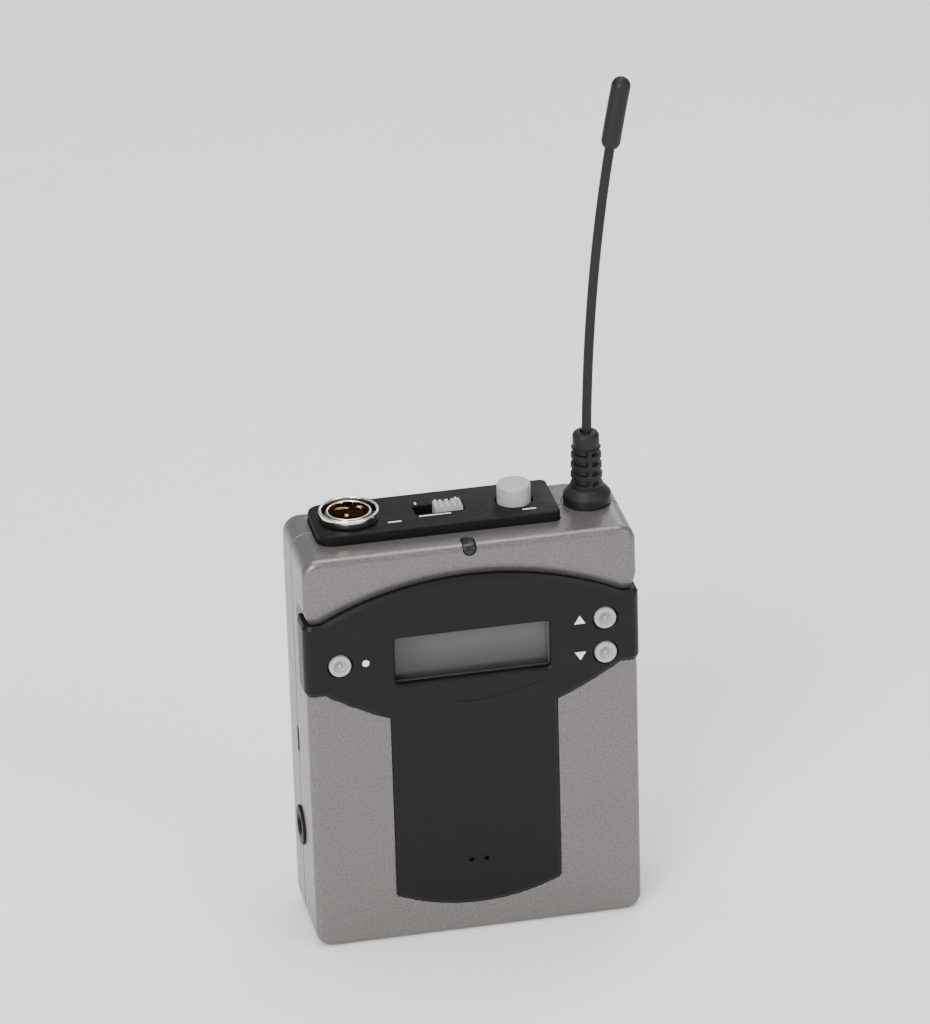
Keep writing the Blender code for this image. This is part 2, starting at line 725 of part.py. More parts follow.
antenna_centre = (antenna_x, antenna_y, case_height)
whip_bore = whip_radius + fit_gap
neck_low = fit_gap + boot_flange_height
neck_high = neck_low + boot_neck_height
boot_high = neck_high + boot_collar_height
boot_profile = [(whip_bore, fit_gap), (boot_flange_radius, fit_gap),
                (boot_flange_radius, neck_low - 0.6 * mm), (boot_flange_radius - 0.6 * mm, neck_low)]
groove_pitch = boot_neck_height / boot_groove_count
for number in range(boot_groove_count):
    start = neck_low + number * groove_pitch
    for share, depth in ((0.05, 0.0), (0.5, 0.0), (0.55, 1.0), (0.95, 1.0)):
        height = start + share * groove_pitch
        along = (height - neck_low) / boot_neck_height
        radius = boot_neck_radius + (boot_neck_top_radius - boot_neck_radius) * along
        boot_profile.append((radius - depth * boot_groove_depth, height))
boot_profile += [(boot_collar_radius, neck_high), (boot_collar_radius, boot_high - 0.8 * mm),
                 (boot_collar_radius - 0.25 * mm, boot_high - 0.3 * mm),
                 (boot_collar_radius - 0.8 * mm, boot_high), (whip_bore, boot_high)]
turned("antenna_boot", boot_profile, antenna_centre, 'Z', 20, rubber, closed=True)

tip_low = antenna_length - tip_length
whip_heights = span(fit_gap + 0.5 * mm, tip_low - fit_gap, 14)
swept("antenna_whip", [whip_point(h) for h in whip_heights], [whip_radius] * len(whip_heights), rubber, 8)

tip_path, tip_radii = [], []
for step in range(13):
    along = tip_length * (1 - math.cos(math.pi * step / 12)) / 2
    into_end = min(along, tip_length - along, tip_radius)
    tip_path.append(whip_point(tip_low + along))
    tip_radii.append(max(math.sqrt(max(tip_radius ** 2 - (tip_radius - into_end) ** 2, 0)), 0.15 * mm))
swept("antenna_tip", tip_path, tip_radii, rubber, 12)

stud_bore = rod("stud_hole", stud_radius + fit_gap, (antenna_x, antenna_y, 0), inner_top_z - 1 * mm,
                case_height + 1 * mm)
cut(front_shell, stud_bore)
cut(rear_shell, stud_bore)
rod("antenna_stud", stud_radius, (antenna_x, antenna_y, 0), case_height - stud_length, case_height,
    'Z', 20, brass)
nut_inner = stud_radius + fit_gap
nut_outline = []
for corner in range(6):
    turn = math.radians(60 * corner + 30)
    reach = antenna_nut_flat / math.cos(math.radians(30))
    nut_outline.append((antenna_x + reach * math.cos(turn), antenna_y + reach * math.sin(turn)))
antenna_nut = upright_prism("antenna_nut", nut_outline, nut_top_z - antenna_nut_height, nut_top_z, brass)
cut(antenna_nut, rod("nut_bore", nut_inner, (antenna_x, antenna_y, 0), nut_top_z - antenna_nut_height - 1 * mm,
                     nut_top_z + 1 * mm, 'Z', 20))


# ---------- batteries, tray, contacts and door ----------

door_inner_y = back_y - door_thickness
cell_y = door_inner_y - fit_gap - cell_radius
cell_x = cell_radius + cell_gap / 2
tray_half_width = cell_x + cell_radius + 0.6 * mm + tray_wall
tray_low_z = wall + fit_gap
lower_plate_z = tray_low_z + tray_wall + fit_gap
cells_low_z = lower_plate_z + contact_thickness + fit_gap
cells_high_z = cells_low_z + spring_length + fit_gap + cell_length
upper_plate_z = cells_high_z + fit_gap
tray_high_z = upper_plate_z + contact_thickness + fit_gap + tray_wall
tray_y = (board_back_y + 0.45 * mm, inner_back_y - fit_gap)

battery_tray = block("battery_tray", (-tray_half_width, tray_half_width), tray_y, (tray_low_z, tray_high_z),
                     tray_black)
cut(battery_tray, block("tray_inside", (-tray_half_width + tray_wall, tray_half_width - tray_wall),
                        (tray_y[0] - 1 * mm, tray_y[1] + 1 * mm),
                        (tray_low_z + tray_wall, tray_high_z - tray_wall)))


def cell(name, x, flat_z, up):
    """An AA cell, its nub pointing up or down."""
    can = cell_length - cell_nub_height
    profile = [(cell_radius - 0.5 * mm, 0), (cell_radius, 0.5 * mm), (cell_radius, can - 0.5 * mm),
               (cell_radius - 0.5 * mm, can), (cell_nub_radius, can), (cell_nub_radius, cell_length)]
    turned(name, [(r, flat_z + up * h) for r, h in profile], (x, cell_y, 0), 'Z', 24, cell_jacket)


def contact_spring(name, x, low_z):
    """An open coil from a contact plate to a cell's flat end."""
    count = spring_turns * spring_points
    path = []
    for i in range(count + 1):
        turn = 2 * math.pi * i / spring_points
        height = spring_wire + (spring_length - 2 * spring_wire) * i / count
        path.append((x + spring_radius * math.cos(turn), cell_y + spring_radius * math.sin(turn),
                     low_z + height))
    swept(name, path, [spring_wire] * len(path), steel, 5)


cell("battery_1", -cell_x, cells_low_z + spring_length + fit_gap, 1)
cell("battery_2", cell_x, cells_high_z - spring_length - fit_gap, -1)
contact_spring("contact_spring_1", -cell_x, cells_low_z)
contact_spring("contact_spring_2", cell_x, cells_high_z - spring_length)
plate_half_width = tray_half_width - tray_wall - fit_gap
for name, low_z in (("contact_plate_lower", lower_plate_z), ("contact_plate_upper", upper_plate_z)):
    block(name, (-plate_half_width, plate_half_width), (cell_y - 4.5 * mm, cell_y + 4.5 * mm),
          (low_z, low_z + contact_thickness), steel)

door_top_z = tray_high_z - tray_wall
battery_door = block("battery_door", (-door_half_width, door_half_width), (door_inner_y, back_y + 2 * mm),
                     (fit_gap, door_top_z), shell_paint, (0, back_y, 0))
combine(battery_door, case_block("door_outer_limit", 0), 'INTERSECT')
for number in range(door_grip_count):
    groove_z = door_top_z - 8 * mm - number * door_grip_pitch
    cut(battery_door, block(f"door_grip_{number + 1}", (-6 * mm, 6 * mm), (back_y - 0.35 * mm, back_y + 1 * mm),
                            (groove_z - 0.4 * mm, groove_z + 0.4 * mm)))
cut(rear_shell, block("door_opening", (-door_half_width - fit_gap, door_half_width + fit_gap),
                      (inner_back_y - 0.1 * mm, back_y + 1 * mm), (-1 * mm, door_top_z + fit_gap)))


# ---------- charging jack and pry notches ----------

jack_centre = (0, parting_y, jack_z)
jack_face = case_width / 2 + jack_rim_proud
rim_back = case_width / 2 + fit_gap / 2
jack_profile = [(jack_body_radius, jack_face - jack_length), (jack_body_radius, rim_back),
                (jack_rim_radius, rim_back), (jack_rim_radius, jack_face - 0.1 * mm),
                (jack_rim_radius - 0.15 * mm, jack_face), (jack_bore_radius, jack_face),
                (jack_bore_radius, jack_face - jack_bore_depth)]
turned("charging_jack", [(radius, -out) for radius, out in jack_profile], jack_centre, 'X', 20, top_black)
jack_hole = rod("jack_hole", jack_body_radius + fit_gap, jack_centre, -case_width / 2 - 1 * mm,
                -inner_side_x + 1 * mm, 'X')
cut(front_shell, jack_hole)
cut(rear_shell, jack_hole)

for side in (-1, 1):
    inner_x = side * (case_width / 2 - notch_depth)
    outer_x = side * (case_width / 2 + 1 * mm)
    notch = block(f"pry_notch_{side + 2}", (min(inner_x, outer_x), max(inner_x, outer_x)),
                  (parting_y - notch_width / 2, parting_y + notch_width / 2),
                  (notch_z - notch_height / 2, notch_z + notch_height / 2))
    cut(front_shell, notch)
    cut(rear_shell, notch)


# ---------- belt clip and its lugs ----------

clip_pivot_y = back_y + clip_pivot_out
clip_out_y = back_y + clip_gap + clip_wire_radius
clip_pinch_y = back_y + clip_pinch + clip_wire_radius


def smooth_path(points, steps):
    """A Catmull-Rom curve through the points."""
    pts = [Vector(p) for p in points]
    pts = [pts[0] * 2 - pts[1]] + pts + [pts[-1] * 2 - pts[-2]]
    path = []
    for i in range(1, len(pts) - 2):
        a, b, c, d = pts[i - 1:i + 3]
        for k in range(steps):
            t = k / steps
            path.append(0.5 * ((2 * b) + (c - a) * t + (2 * a - 5 * b + 4 * c - d) * t * t
                               + (3 * b - a - 3 * c + d) * t ** 3))
    path.append(pts[-2])
    return path


half_clip = [
    (clip_leg_x - clip_tip_length, clip_pivot_y, clip_pivot_z),
    (clip_leg_x - clip_bend, clip_pivot_y, clip_pivot_z),
    (clip_leg_x - clip_bend * 0.3, clip_pivot_y + 0.3 * mm, clip_pivot_z - clip_bend * 0.4),
    (clip_leg_x, clip_out_y - 0.8 * mm, clip_pivot_z - clip_bend * 2),
    (clip_leg_x, clip_out_y, clip_pivot_z - 14 * mm),
    (clip_leg_x, clip_out_y, clip_bottom_z + 20 * mm),
    (clip_leg_x, clip_pinch_y, clip_bottom_z + 7 * mm),
    (clip_leg_x - 1.5 * mm, clip_pinch_y + 1.2 * mm, clip_bottom_z + 2 * mm),
    (clip_leg_x - 6 * mm, clip_pinch_y + 2.2 * mm, clip_bottom_z),
]
whole_clip = half_clip + [(-x, y, z) for x, y, z in reversed(half_clip)]
clip_path = smooth_path(whole_clip, 4)
swept("belt_clip", clip_path, [clip_wire_radius] * len(clip_path), chrome, 8,
      origin=(0, clip_pivot_y, clip_pivot_z))

for side in (-1, 1):
    near = clip_leg_x - clip_bend - 0.3 * mm
    limits = sorted((side * near, side * (near - lug_width)))
    join(rear_shell, block(f"clip_lug_{side + 2}", limits, (back_y - into_wall, clip_pivot_y + lug_half_height),
                           (clip_pivot_z - lug_half_height, clip_pivot_z + lug_half_height)))
    cut(rear_shell, rod(f"lug_bore_{side + 2}", clip_wire_radius + fit_gap, (0, clip_pivot_y, clip_pivot_z),
                        limits[0] - 1 * mm, limits[1] + 1 * mm, 'X', 14))
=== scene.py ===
import json
import math

import bmesh
import bpy
import numpy as np
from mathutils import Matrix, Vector


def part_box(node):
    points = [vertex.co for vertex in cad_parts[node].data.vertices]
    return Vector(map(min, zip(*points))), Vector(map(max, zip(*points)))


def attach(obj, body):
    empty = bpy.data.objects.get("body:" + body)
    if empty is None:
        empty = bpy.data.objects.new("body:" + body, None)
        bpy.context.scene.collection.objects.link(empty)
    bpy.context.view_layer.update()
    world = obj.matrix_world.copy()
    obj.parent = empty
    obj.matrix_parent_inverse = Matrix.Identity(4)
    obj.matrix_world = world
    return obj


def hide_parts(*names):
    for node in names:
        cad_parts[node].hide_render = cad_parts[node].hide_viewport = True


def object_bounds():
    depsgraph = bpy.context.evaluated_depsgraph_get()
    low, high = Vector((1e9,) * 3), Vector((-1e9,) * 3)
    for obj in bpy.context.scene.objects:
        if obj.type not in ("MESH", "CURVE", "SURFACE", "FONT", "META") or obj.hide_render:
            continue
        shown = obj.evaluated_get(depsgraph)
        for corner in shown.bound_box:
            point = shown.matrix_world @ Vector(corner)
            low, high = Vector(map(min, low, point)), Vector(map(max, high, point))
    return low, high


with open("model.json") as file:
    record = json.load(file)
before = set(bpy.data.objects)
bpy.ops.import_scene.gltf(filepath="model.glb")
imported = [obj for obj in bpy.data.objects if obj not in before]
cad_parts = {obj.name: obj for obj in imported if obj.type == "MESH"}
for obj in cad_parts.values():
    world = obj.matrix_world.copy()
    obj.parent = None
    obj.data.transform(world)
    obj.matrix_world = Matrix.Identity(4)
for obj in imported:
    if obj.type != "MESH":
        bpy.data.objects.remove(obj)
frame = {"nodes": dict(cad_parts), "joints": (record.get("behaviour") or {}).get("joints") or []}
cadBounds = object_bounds()
mm = 0.001
nodes = frame["nodes"]
print("frame loaded,", len(nodes), "nodes")

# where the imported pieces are, which every surface below is built around
caseLow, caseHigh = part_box("front_shell")
case = {
    "width": caseHigh.x - caseLow.x,
    "height": caseHigh.z - caseLow.z,
    "frontY": caseLow.y,
    "backY": -caseLow.y,
    "frontSeamY": caseHigh.y,
    "rearSeamY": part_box("rear_shell")[0].y,
    "wall": 1.8 * mm,
    "cornerRadius": 3.3 * mm,
    "edgeRadius": 1.5 * mm,
    "seamChamfer": 0.2 * mm,
}
frontY, backY, caseTop, caseHalf = case["frontY"], case["backY"], case["height"], case["width"] / 2
spare = 1 * mm     # how far a cutter runs past the surface that it cuts


# meshes from arrays

def gridFaces(rows, columns, loopRows=False):
    # quads between neighbouring rows of points, each row closing on itself
    rowCount = rows if loopRows else rows - 1
    row, column = np.meshgrid(np.arange(rowCount), np.arange(columns), indexing="ij")
    nextRow, nextColumn = (row + 1) % rows, (column + 1) % columns
    corners = [row * columns + column, row * columns + nextColumn,
               nextRow * columns + nextColumn, nextRow * columns + column]
    return np.stack(corners, -1).reshape(-1, 4)


def newObject(name, data):
    piece = bpy.data.objects.new(name, data)
    bpy.context.scene.collection.objects.link(piece)
    return piece


def newPiece(name, points, faces, sharpAngle=35):
    mesh = bpy.data.meshes.new(name)
    mesh.from_pydata(np.asarray(points, float).tolist(), [], [tuple(face) for face in faces])
    tidyMesh(mesh, sharpAngle)
    return newObject(name, mesh)


def tidyMesh(mesh, sharpAngle):
    # closes poles and seams, turns every face outwards and marks the real edges
    work = bmesh.new()
    work.from_mesh(mesh)
    bmesh.ops.remove_doubles(work, verts=work.verts, dist=1e-7)
    bmesh.ops.recalc_face_normals(work, faces=work.faces)
    work.to_mesh(mesh)
    work.free()
    mesh.shade_smooth()
    mesh.set_sharp_from_angle(angle=math.radians(sharpAngle))


def ringLoft(name, rings, closed=False, sharpAngle=35):
    # a skin through rings of points: rows by columns by three, with a flat cap at each open end
    rings = np.asarray(rings, float)
    rows, columns = rings.shape[:2]
    faces = gridFaces(rows, columns, closed).tolist()
    if not closed:
        for row in (0, rows - 1):
            if np.ptp(rings[row], axis=0).max() > 1e-6:
                faces.append(list(range(row * columns, (row + 1) * columns)))
    return newPiece(name, rings.reshape(-1, 3), faces, sharpAngle)


def turned(name, profile, centre, axis="z", sides=64, closed=False, sharpAngle=35):
    # radius times (cos, sin) of the turn about the axis, at the profile's height along it
    profile = np.asarray(profile, float)
    turn = np.linspace(0, 2 * np.pi, sides, endpoint=False)
    radius, height = profile[:, :1], profile[:, 1:]
    across, up = radius * np.cos(turn), radius * np.sin(turn)
    along = height + 0 * turn
    order = {"x": (along, across, up), "y": (across, along, up), "z": (across, up, along)}[axis]
    return ringLoft(name, np.stack(order, -1) + np.asarray(centre, float), closed, sharpAngle)


def tube(name, path, radii, sides=20, sharpAngle=35):
    # a circle of the given radius carried along the path in planes at right angles to it
    path = np.asarray(path, float)
    along = np.gradient(path, axis=0)
    along /= np.linalg.norm(along, axis=1, keepdims=True)
    across = np.zeros_like(path)
    start = np.cross(along[0], (0.3, 0.2, 1.0) if abs(along[0][2]) < 0.9 else (0, 1.0, 0.1))
    across[0] = start / np.linalg.norm(start)
    for i in range(1, len(path)):
        turnedOn = across[i - 1] - along[i] * np.dot(across[i - 1], along[i])
        across[i] = turnedOn / np.linalg.norm(turnedOn)
    other = np.cross(along, across)
    turn = np.linspace(0, 2 * np.pi, sides, endpoint=False)[None, :, None]
    radii = np.broadcast_to(np.asarray(radii, float), (len(path),))[:, None, None]
    rings = path[:, None] + radii * (np.cos(turn) * across[:, None] + np.sin(turn) * other[:, None])
    return ringLoft(name, rings, sharpAngle=sharpAngle)


def quarterRound(radius, height, size, outward, steps):
    # a profile's rounded edge, as (radius, height) points from the end face out to the side:
    # radius less size * (1 - sin), and back from the end face by size * (1 - cos)
    return [(radius - size * (1 - math.sin(a)), height - outward * size * (1 - math.cos(a)))
            for a in np.linspace(0, math.pi / 2, steps)]


def halfRound(inner, wall, top, steps):
    # the rounded top of a ring's wall, from its outer side over to its inner side
    middle = inner + wall / 2
    return [(middle + wall / 2 * math.cos(a), top - wall / 2 + wall / 2 * math.sin(a))
            for a in np.linspace(0, math.pi, steps)]


def arcPoints(start, end, bulge, steps):
    # a round arc from start to end that bulges to the right of the way it goes
    start, end = np.asarray(start, float), np.asarray(end, float)
    half = np.linalg.norm(end - start) / 2
    along = (end - start) / (2 * half)
    right = np.array([along[1], -along[0]])
    radius = (half ** 2 + bulge ** 2) / (2 * bulge)
    centre = (start + end) / 2 + right * (bulge - radius)
    turn = np.linspace(-1, 1, steps + 1)[:, None] * math.asin(half / radius)
    return centre + radius * (along * np.sin(turn) + right * np.cos(turn))


def roundedOutline(left, right, low, high, radii, steps=8):
    # four quarter circles, counter-clockwise from the lower left corner
    corners = ((left, low, 1, 1, 180), (right, low, -1, 1, 270),
               (right, high, -1, -1, 0), (left, high, 1, -1, 90))
    parts = []
    for (x, y, inX, inY, start), radius in zip(corners, radii):
        turn = np.radians(np.linspace(start, start + 90, steps + 1))
        parts.append(np.stack([x + inX * radius + radius * np.cos(turn),
                               y + inY * radius + radius * np.sin(turn)], -1))
    return np.concatenate(parts)


def boxOutline(left, right, low, high):
    return np.array([(left, low), (right, low), (right, high), (left, high)])


def movedOutline(outline, distance):
    # every corner slides along its mitre, so each side moves outwards by the distance
    after = np.roll(outline, -1, axis=0) - outline
    outAfter = np.stack([after[:, 1], -after[:, 0]], -1) / np.linalg.norm(after, axis=1, keepdims=True)
    outBefore = np.roll(outAfter, 1, axis=0)
    mitre = outBefore + outAfter
    mitre /= np.linalg.norm(mitre, axis=1, keepdims=True)
    reach = np.maximum((mitre * outAfter).sum(1, keepdims=True), 0.35)
    return outline + mitre * distance / reach


def stacked(name, outline, steps, axis="z", sharpAngle=35):
    # an outline lofted through (height, outward move) steps along an axis
    rings = []
    for height, move in steps:
        ring = movedOutline(outline, move) if move else outline
        level = np.full(len(ring), height)
        order = {"x": (level, ring[:, 0], ring[:, 1]), "y": (ring[:, 0], level, ring[:, 1]),
                 "z": (ring[:, 0], ring[:, 1], level)}[axis]
        rings.append(np.stack(order, -1))
    return ringLoft(name, rings, sharpAngle=sharpAngle)


def settle(piece, sharpAngle=35):
    # keeps what the modifiers made as the piece's own mesh
    graph = bpy.context.evaluated_depsgraph_get()
    mesh = bpy.data.meshes.new_from_object(piece.evaluated_get(graph))
    piece.modifiers.clear()
    piece.data = mesh
    tidyMesh(mesh, sharpAngle)
    return piece


def carve(piece, cutters, operation="DIFFERENCE", sharpAngle=35):
    for cutter in cutters:
        change = piece.modifiers.new("carve", "BOOLEAN")
        change.operation, change.solver, change.object = operation, "MANIFOLD", cutter
    bpy.context.view_layer.update()
    settle(piece, sharpAngle)
    for cutter in cutters:
        bpy.data.objects.remove(cutter)
    return piece


# materials

def linear(code, alpha=1.0):
    # sRGB hex to scene-linear
    parts = [int(code[i:i + 2], 16) / 255 for i in (1, 3, 5)]
    return tuple(c / 12.92 if c <= 0.04045 else ((c + 0.055) / 1.055) ** 2.4 for c in parts) + (alpha,)


def addNode(tree, kind, settings=None, sockets=None):
    node = tree.nodes.new(kind)
    for key, value in (settings or {}).items():
        setattr(node, key, value)
    for key, value in (sockets or {}).items():
        if isinstance(value, bpy.types.NodeSocket):
            tree.links.new(value, node.inputs[key])
        else:
            node.inputs[key].default_value = value
    return node


def grainSize(millimetres):
    # a noise repeats about once per unit of scale, and Object coordinates are metres
    return 1 / (millimetres * mm)


def surface(name, shader, colours, colourGrain, roughness, roughGrain, bumps, stretch=(1, 1, 1)):
    # two colours mixed by a noise, a roughness range on a second noise, and a sum of bumps
    material = bpy.data.materials.new(name)
    material.use_nodes = True
    tree = material.node_tree
    principled = tree.nodes["Principled BSDF"]
    coords = addNode(tree, "ShaderNodeTexCoord")
    at = addNode(tree, "ShaderNodeMapping", sockets={"Vector": coords.outputs["Object"], "Scale": stretch})
    patches = addNode(tree, "ShaderNodeTexNoise", sockets={
        "Vector": at.outputs["Vector"], "Scale": grainSize(colourGrain), "Detail": 3.0, "Roughness": 0.6})
    blend = addNode(tree, "ShaderNodeMix", {"data_type": "RGBA"}, {
        "Factor": patches.outputs["Fac"], 6: linear(colours[0]), 7: linear(colours[1])})
    tree.links.new(blend.outputs[2], principled.inputs["Base Color"])
    wear = addNode(tree, "ShaderNodeTexNoise", sockets={
        "Vector": at.outputs["Vector"], "Scale": grainSize(roughGrain), "Detail": 4.0})
    gloss = addNode(tree, "ShaderNodeMapRange", sockets={
        "Value": wear.outputs["Fac"], "From Min": 0.3, "From Max": 0.7,
        "To Min": roughness[0], "To Max": roughness[1]})
    tree.links.new(gloss.outputs["Result"], principled.inputs["Roughness"])
    normal = None
    for size, height, detail in bumps:
        grain = addNode(tree, "ShaderNodeTexNoise", sockets={
            "Vector": at.outputs["Vector"], "Scale": grainSize(size), "Detail": detail})
        sockets = {"Height": grain.outputs["Fac"], "Strength": 1.0, "Distance": height * mm}
        if normal:
            sockets["Normal"] = normal
        normal = addNode(tree, "ShaderNodeBump", sockets=sockets).outputs["Normal"]
    if normal:
        tree.links.new(normal, principled.inputs["Normal"])
    for key, value in shader.items():
        principled.inputs[key].default_value = value
    return material


# real flake, spark and mould textures are much finer than this and would not show, so they are drawn
# at 0.4 to 0.6 mm
materials = {
    # silver-grey two-pack paint sprayed on moulded ABS: its flake glitters a little, and its reflections
    # wave with the orange peel
    "paint": surface("sprayedSilverPaint", {"Metallic": 0.6, "Coat Weight": 0.14, "Coat Roughness": 0.16},
                     ("#484644", "#817e7b"), 0.45, (0.32, 0.4), 3.0,
                     [(0.45, 0.014, 2.0), (2.2, 0.012, 1.0)]),
    # black ABS moulded in a fine satin tool: soft, even reflections
    "panel": surface("mouldedBlackAbs", {"Specular IOR Level": 0.2},
                     ("#0a0a0a", "#0e0e0e"), 3.0, (0.36, 0.44), 5.0, [(0.4, 0.006, 2.0)]),
    # black ABS from a spark-eroded tool: coarser and duller
    "topPlate": surface("sparkTexturedAbs", {"Specular IOR Level": 0.14},
                        ("#080808", "#0f0f0f"), 0.6, (0.42, 0.54), 1.5, [(0.5, 0.03, 3.0)]),
    # light grey polycarbonate from a bead-blasted tool: pale, satin and very slightly translucent
    "keyGrey": surface("mouldedGreyPolycarbonate", {"Specular IOR Level": 0.5, "Subsurface Weight": 0.05},
                       ("#989693", "#a5a3a0"), 1.2, (0.38, 0.48), 1.0, [(0.4, 0.006, 2.0)]),
    # reflective liquid crystal display, switched off: grey-green under a glossy polariser film
    "lcd": surface("reflectiveLcdGlass",
                   {"Specular IOR Level": 0.5, "Coat Weight": 0.3, "Coat Roughness": 0.08},
                   ("#444743", "#484b47"), 9.0, (0.3, 0.4), 6.0, []),
    # smoke-tinted acrylic: dark and glossy
    "smoke": surface("smokedAcrylic", {"Specular IOR Level": 0.4, "IOR": 1.49},
                     ("#121110", "#1b1a18"), 1.6, (0.26, 0.34), 1.0, [(0.5, 0.003, 1.0)]),
    # clear cast acrylic window: see-through with a faint tint; the coated display behind it carries
    # the gloss, so the sheet is given hardly any bending or reflection of its own
    "window": surface("clearAcrylic", {"Transmission Weight": 1.0, "IOR": 1.02},
                      ("#e6e9e6", "#eceeec"), 12.0, (0.0, 0.0), 6.0, []),
    # moulded black thermoplastic rubber: matt with a faint bloom
    "rubber": surface("mouldedBlackRubber", {"Specular IOR Level": 0.28},
                      ("#121212", "#191919"), 1.4, (0.46, 0.6), 2.0, [(0.5, 0.015, 3.0)]),
    # polished nickel-chrome plate: bright mirror with dark bands
    "chrome": surface("polishedChromePlate", {"Metallic": 1.0},
                      ("#e9e6e2", "#f2f0ed"), 3.0, (0.05, 0.12), 1.2, [(1.5, 0.002, 1.0)]),
    # gilt brass contact: warm metal
    "gilt": surface("giltBrass", {"Metallic": 1.0},
                    ("#c79a4b", "#dfb768"), 0.8, (0.18, 0.3), 0.6, [(0.4, 0.002, 1.0)]),
    # bright zinc-plated steel: dull silver, drawn out along one way
    "zinc": surface("zincPlatedSteel", {"Metallic": 1.0},
                    ("#a7a8a6", "#bdbebc"), 1.0, (0.24, 0.38), 0.8, [(0.3, 0.004, 2.0)], (1, 4, 1)),
    # moulded dark brown phenolic insulator: smooth, with a soft gloss
    "phenolic": surface("mouldedPhenolic", {"Specular IOR Level": 0.5},
                        ("#22150e", "#332015"), 0.7, (0.26, 0.36), 1.0, [(0.5, 0.006, 2.0)]),
    # green solder mask over copper: uneven green under a clear coat
    "board": surface("greenSolderMask", {"Specular IOR Level": 0.5, "Coat Weight": 0.4},
                     ("#14532d", "#1d6b3c"), 2.0, (0.3, 0.42), 1.5, [(0.8, 0.01, 2.0)]),
    # plain heat-shrunk PVC jacket of a cell: glossy, with slight waves
    "jacket": surface("shrunkPvcJacket", {"Specular IOR Level": 0.5},
                      ("#1d3f6e", "#244a7d"), 8.0, (0.22, 0.32), 4.0, [(1.2, 0.01, 2.0)]),
    # screen-printed white ink: flat and opaque
    "ink": surface("screenPrintedInk", {"Specular IOR Level": 0.3},
                   ("#d8d8d6", "#e4e4e2"), 0.5, (0.5, 0.6), 0.5, [(0.15, 0.002, 2.0)]),
    # pad-printed black ink: flat and a little duller than the paint under it
    "blackInk": surface("padPrintedBlackInk", {"Specular IOR Level": 0.3},
                        ("#161616", "#1e1e1e"), 0.5, (0.45, 0.55), 0.5, [(0.4, 0.002, 2.0)]),
}


def paintedShadeAlong(material, axis, low, high, least):
    # painted shade: multiplies the colour by a share that rises along an axis, from least to one
    tree = material.node_tree
    colour = tree.nodes["Principled BSDF"].inputs["Base Color"]
    coords = addNode(tree, "ShaderNodeTexCoord")
    parts = addNode(tree, "ShaderNodeSeparateXYZ", sockets={"Vector": coords.outputs["Object"]})
    share = addNode(tree, "ShaderNodeMapRange", {"interpolation_type": "SMOOTHSTEP"}, {
        "Value": parts.outputs[axis], "From Min": low, "From Max": high, "To Min": least, "To Max": 1.0})
    mixed = addNode(tree, "ShaderNodeMix", {"data_type": "RGBA", "blend_type": "MULTIPLY"}, {
        "Factor": 1.0, 6: colour.links[0].from_socket, 7: share.outputs["Result"]})
    tree.links.new(mixed.outputs[2], colour)


print("materials made")


def place(piece, body, replaced, material):
    piece.data.materials.clear()
    piece.data.materials.append(materials[material])
    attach(piece, body)
    if replaced:
        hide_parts(*replaced)
    return piece


# the case's own outline, in X and Z

caseGrid = {"cornerSteps": 12, "shortSteps": 96, "longSteps": 140}


def caseOutline(inset, grid=caseGrid):
    # quarter circles joined by straight sides, with the same number of points at every inset
    radius = max(case["cornerRadius"] - inset, 0.2 * mm)
    half, low, high = caseHalf - inset, inset, caseTop - inset
    centres = [(-half + radius, low + radius), (half - radius, low + radius),
               (half - radius, high - radius), (-half + radius, high - radius)]
    points, outward = [], []
    for corner, start in enumerate((180, 270, 0, 90)):
        turn = np.radians(np.linspace(start, start + 90, grid["cornerSteps"] + 1))
        direction = np.stack([np.cos(turn), np.sin(turn)], -1)
        here = np.array(centres[corner]) + radius * direction
        following = np.array(centres[(corner + 1) % 4]) + radius * direction[-1]
        steps = grid["shortSteps"] if corner % 2 == 0 else grid["longSteps"]
        share = np.linspace(0, 1, steps + 1)[1:-1, None]
        points += [here, here[-1] + (following - here[-1]) * share]
        outward += [direction, np.repeat(direction[-1:], steps - 1, axis=0)]
    return np.concatenate(points), np.concatenate(outward)


# the black panel's outline, unrolled flat across the front and round both sides

panel = {
    "proud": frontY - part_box("display_panel")[0].y,
    "wrap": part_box("display_panel")[1].y - frontY,
    "bandFlat": 3.0 * mm,
    "bandTopZ": caseTop - 13.5 * mm,
    "bandRise": 7.0 * mm,
    "bandBottomZ": caseTop - 28.6 * mm,
    "tongueHalf": 16.4 * mm,
    "tongueDrop": 6.6 * mm,
    "tongueBottomZ": 9.2 * mm,
    "tongueSag": 3.4 * mm,
    "cornerRadius": 1.1 * mm,
    "chamferWidth": 0.85 * mm,
    "chamferDrop": 0.38 * mm,
}
flatHalf = caseHalf - case["edgeRadius"]
quarterTurn = case["edgeRadius"] * math.pi / 2
panelReach = flatHalf + quarterTurn + panel["wrap"] - case["edgeRadius"]


def panelOutline():
    bend = caseHalf - panel["bandFlat"]
    tongueTop = panel["bandBottomZ"] - panel["tongueDrop"]
    half, radius = panel["tongueHalf"], panel["cornerRadius"]
    turn = np.radians(np.linspace(20, 90, 6))
    rightCorner = np.stack([half - radius + radius * np.sin(turn),
                            panel["tongueBottomZ"] + 0.15 * mm + radius - radius * np.cos(turn)], -1)
    leftCorner = (rightCorner * (-1, 1))[::-1]
    bottom = arcPoints(leftCorner[-1], rightCorner[0], panel["tongueSag"] - 0.2 * mm, 28)
    low, high = panel["bandBottomZ"], panel["bandTopZ"]
    rightEdge = arcPoints((half, tongueTop), (bend - 0.5 * mm, low), 0.35 * mm, 10)
    top = arcPoints((bend, high), (-bend, high), panel["bandRise"], 48)
    return np.concatenate([
        bottom[1:-1], rightCorner, rightEdge, [(panelReach, low), (panelReach, high)], top,
        [(-panelReach, high), (-panelReach, low)], (rightEdge * (-1, 1))[::-1], leftCorner])


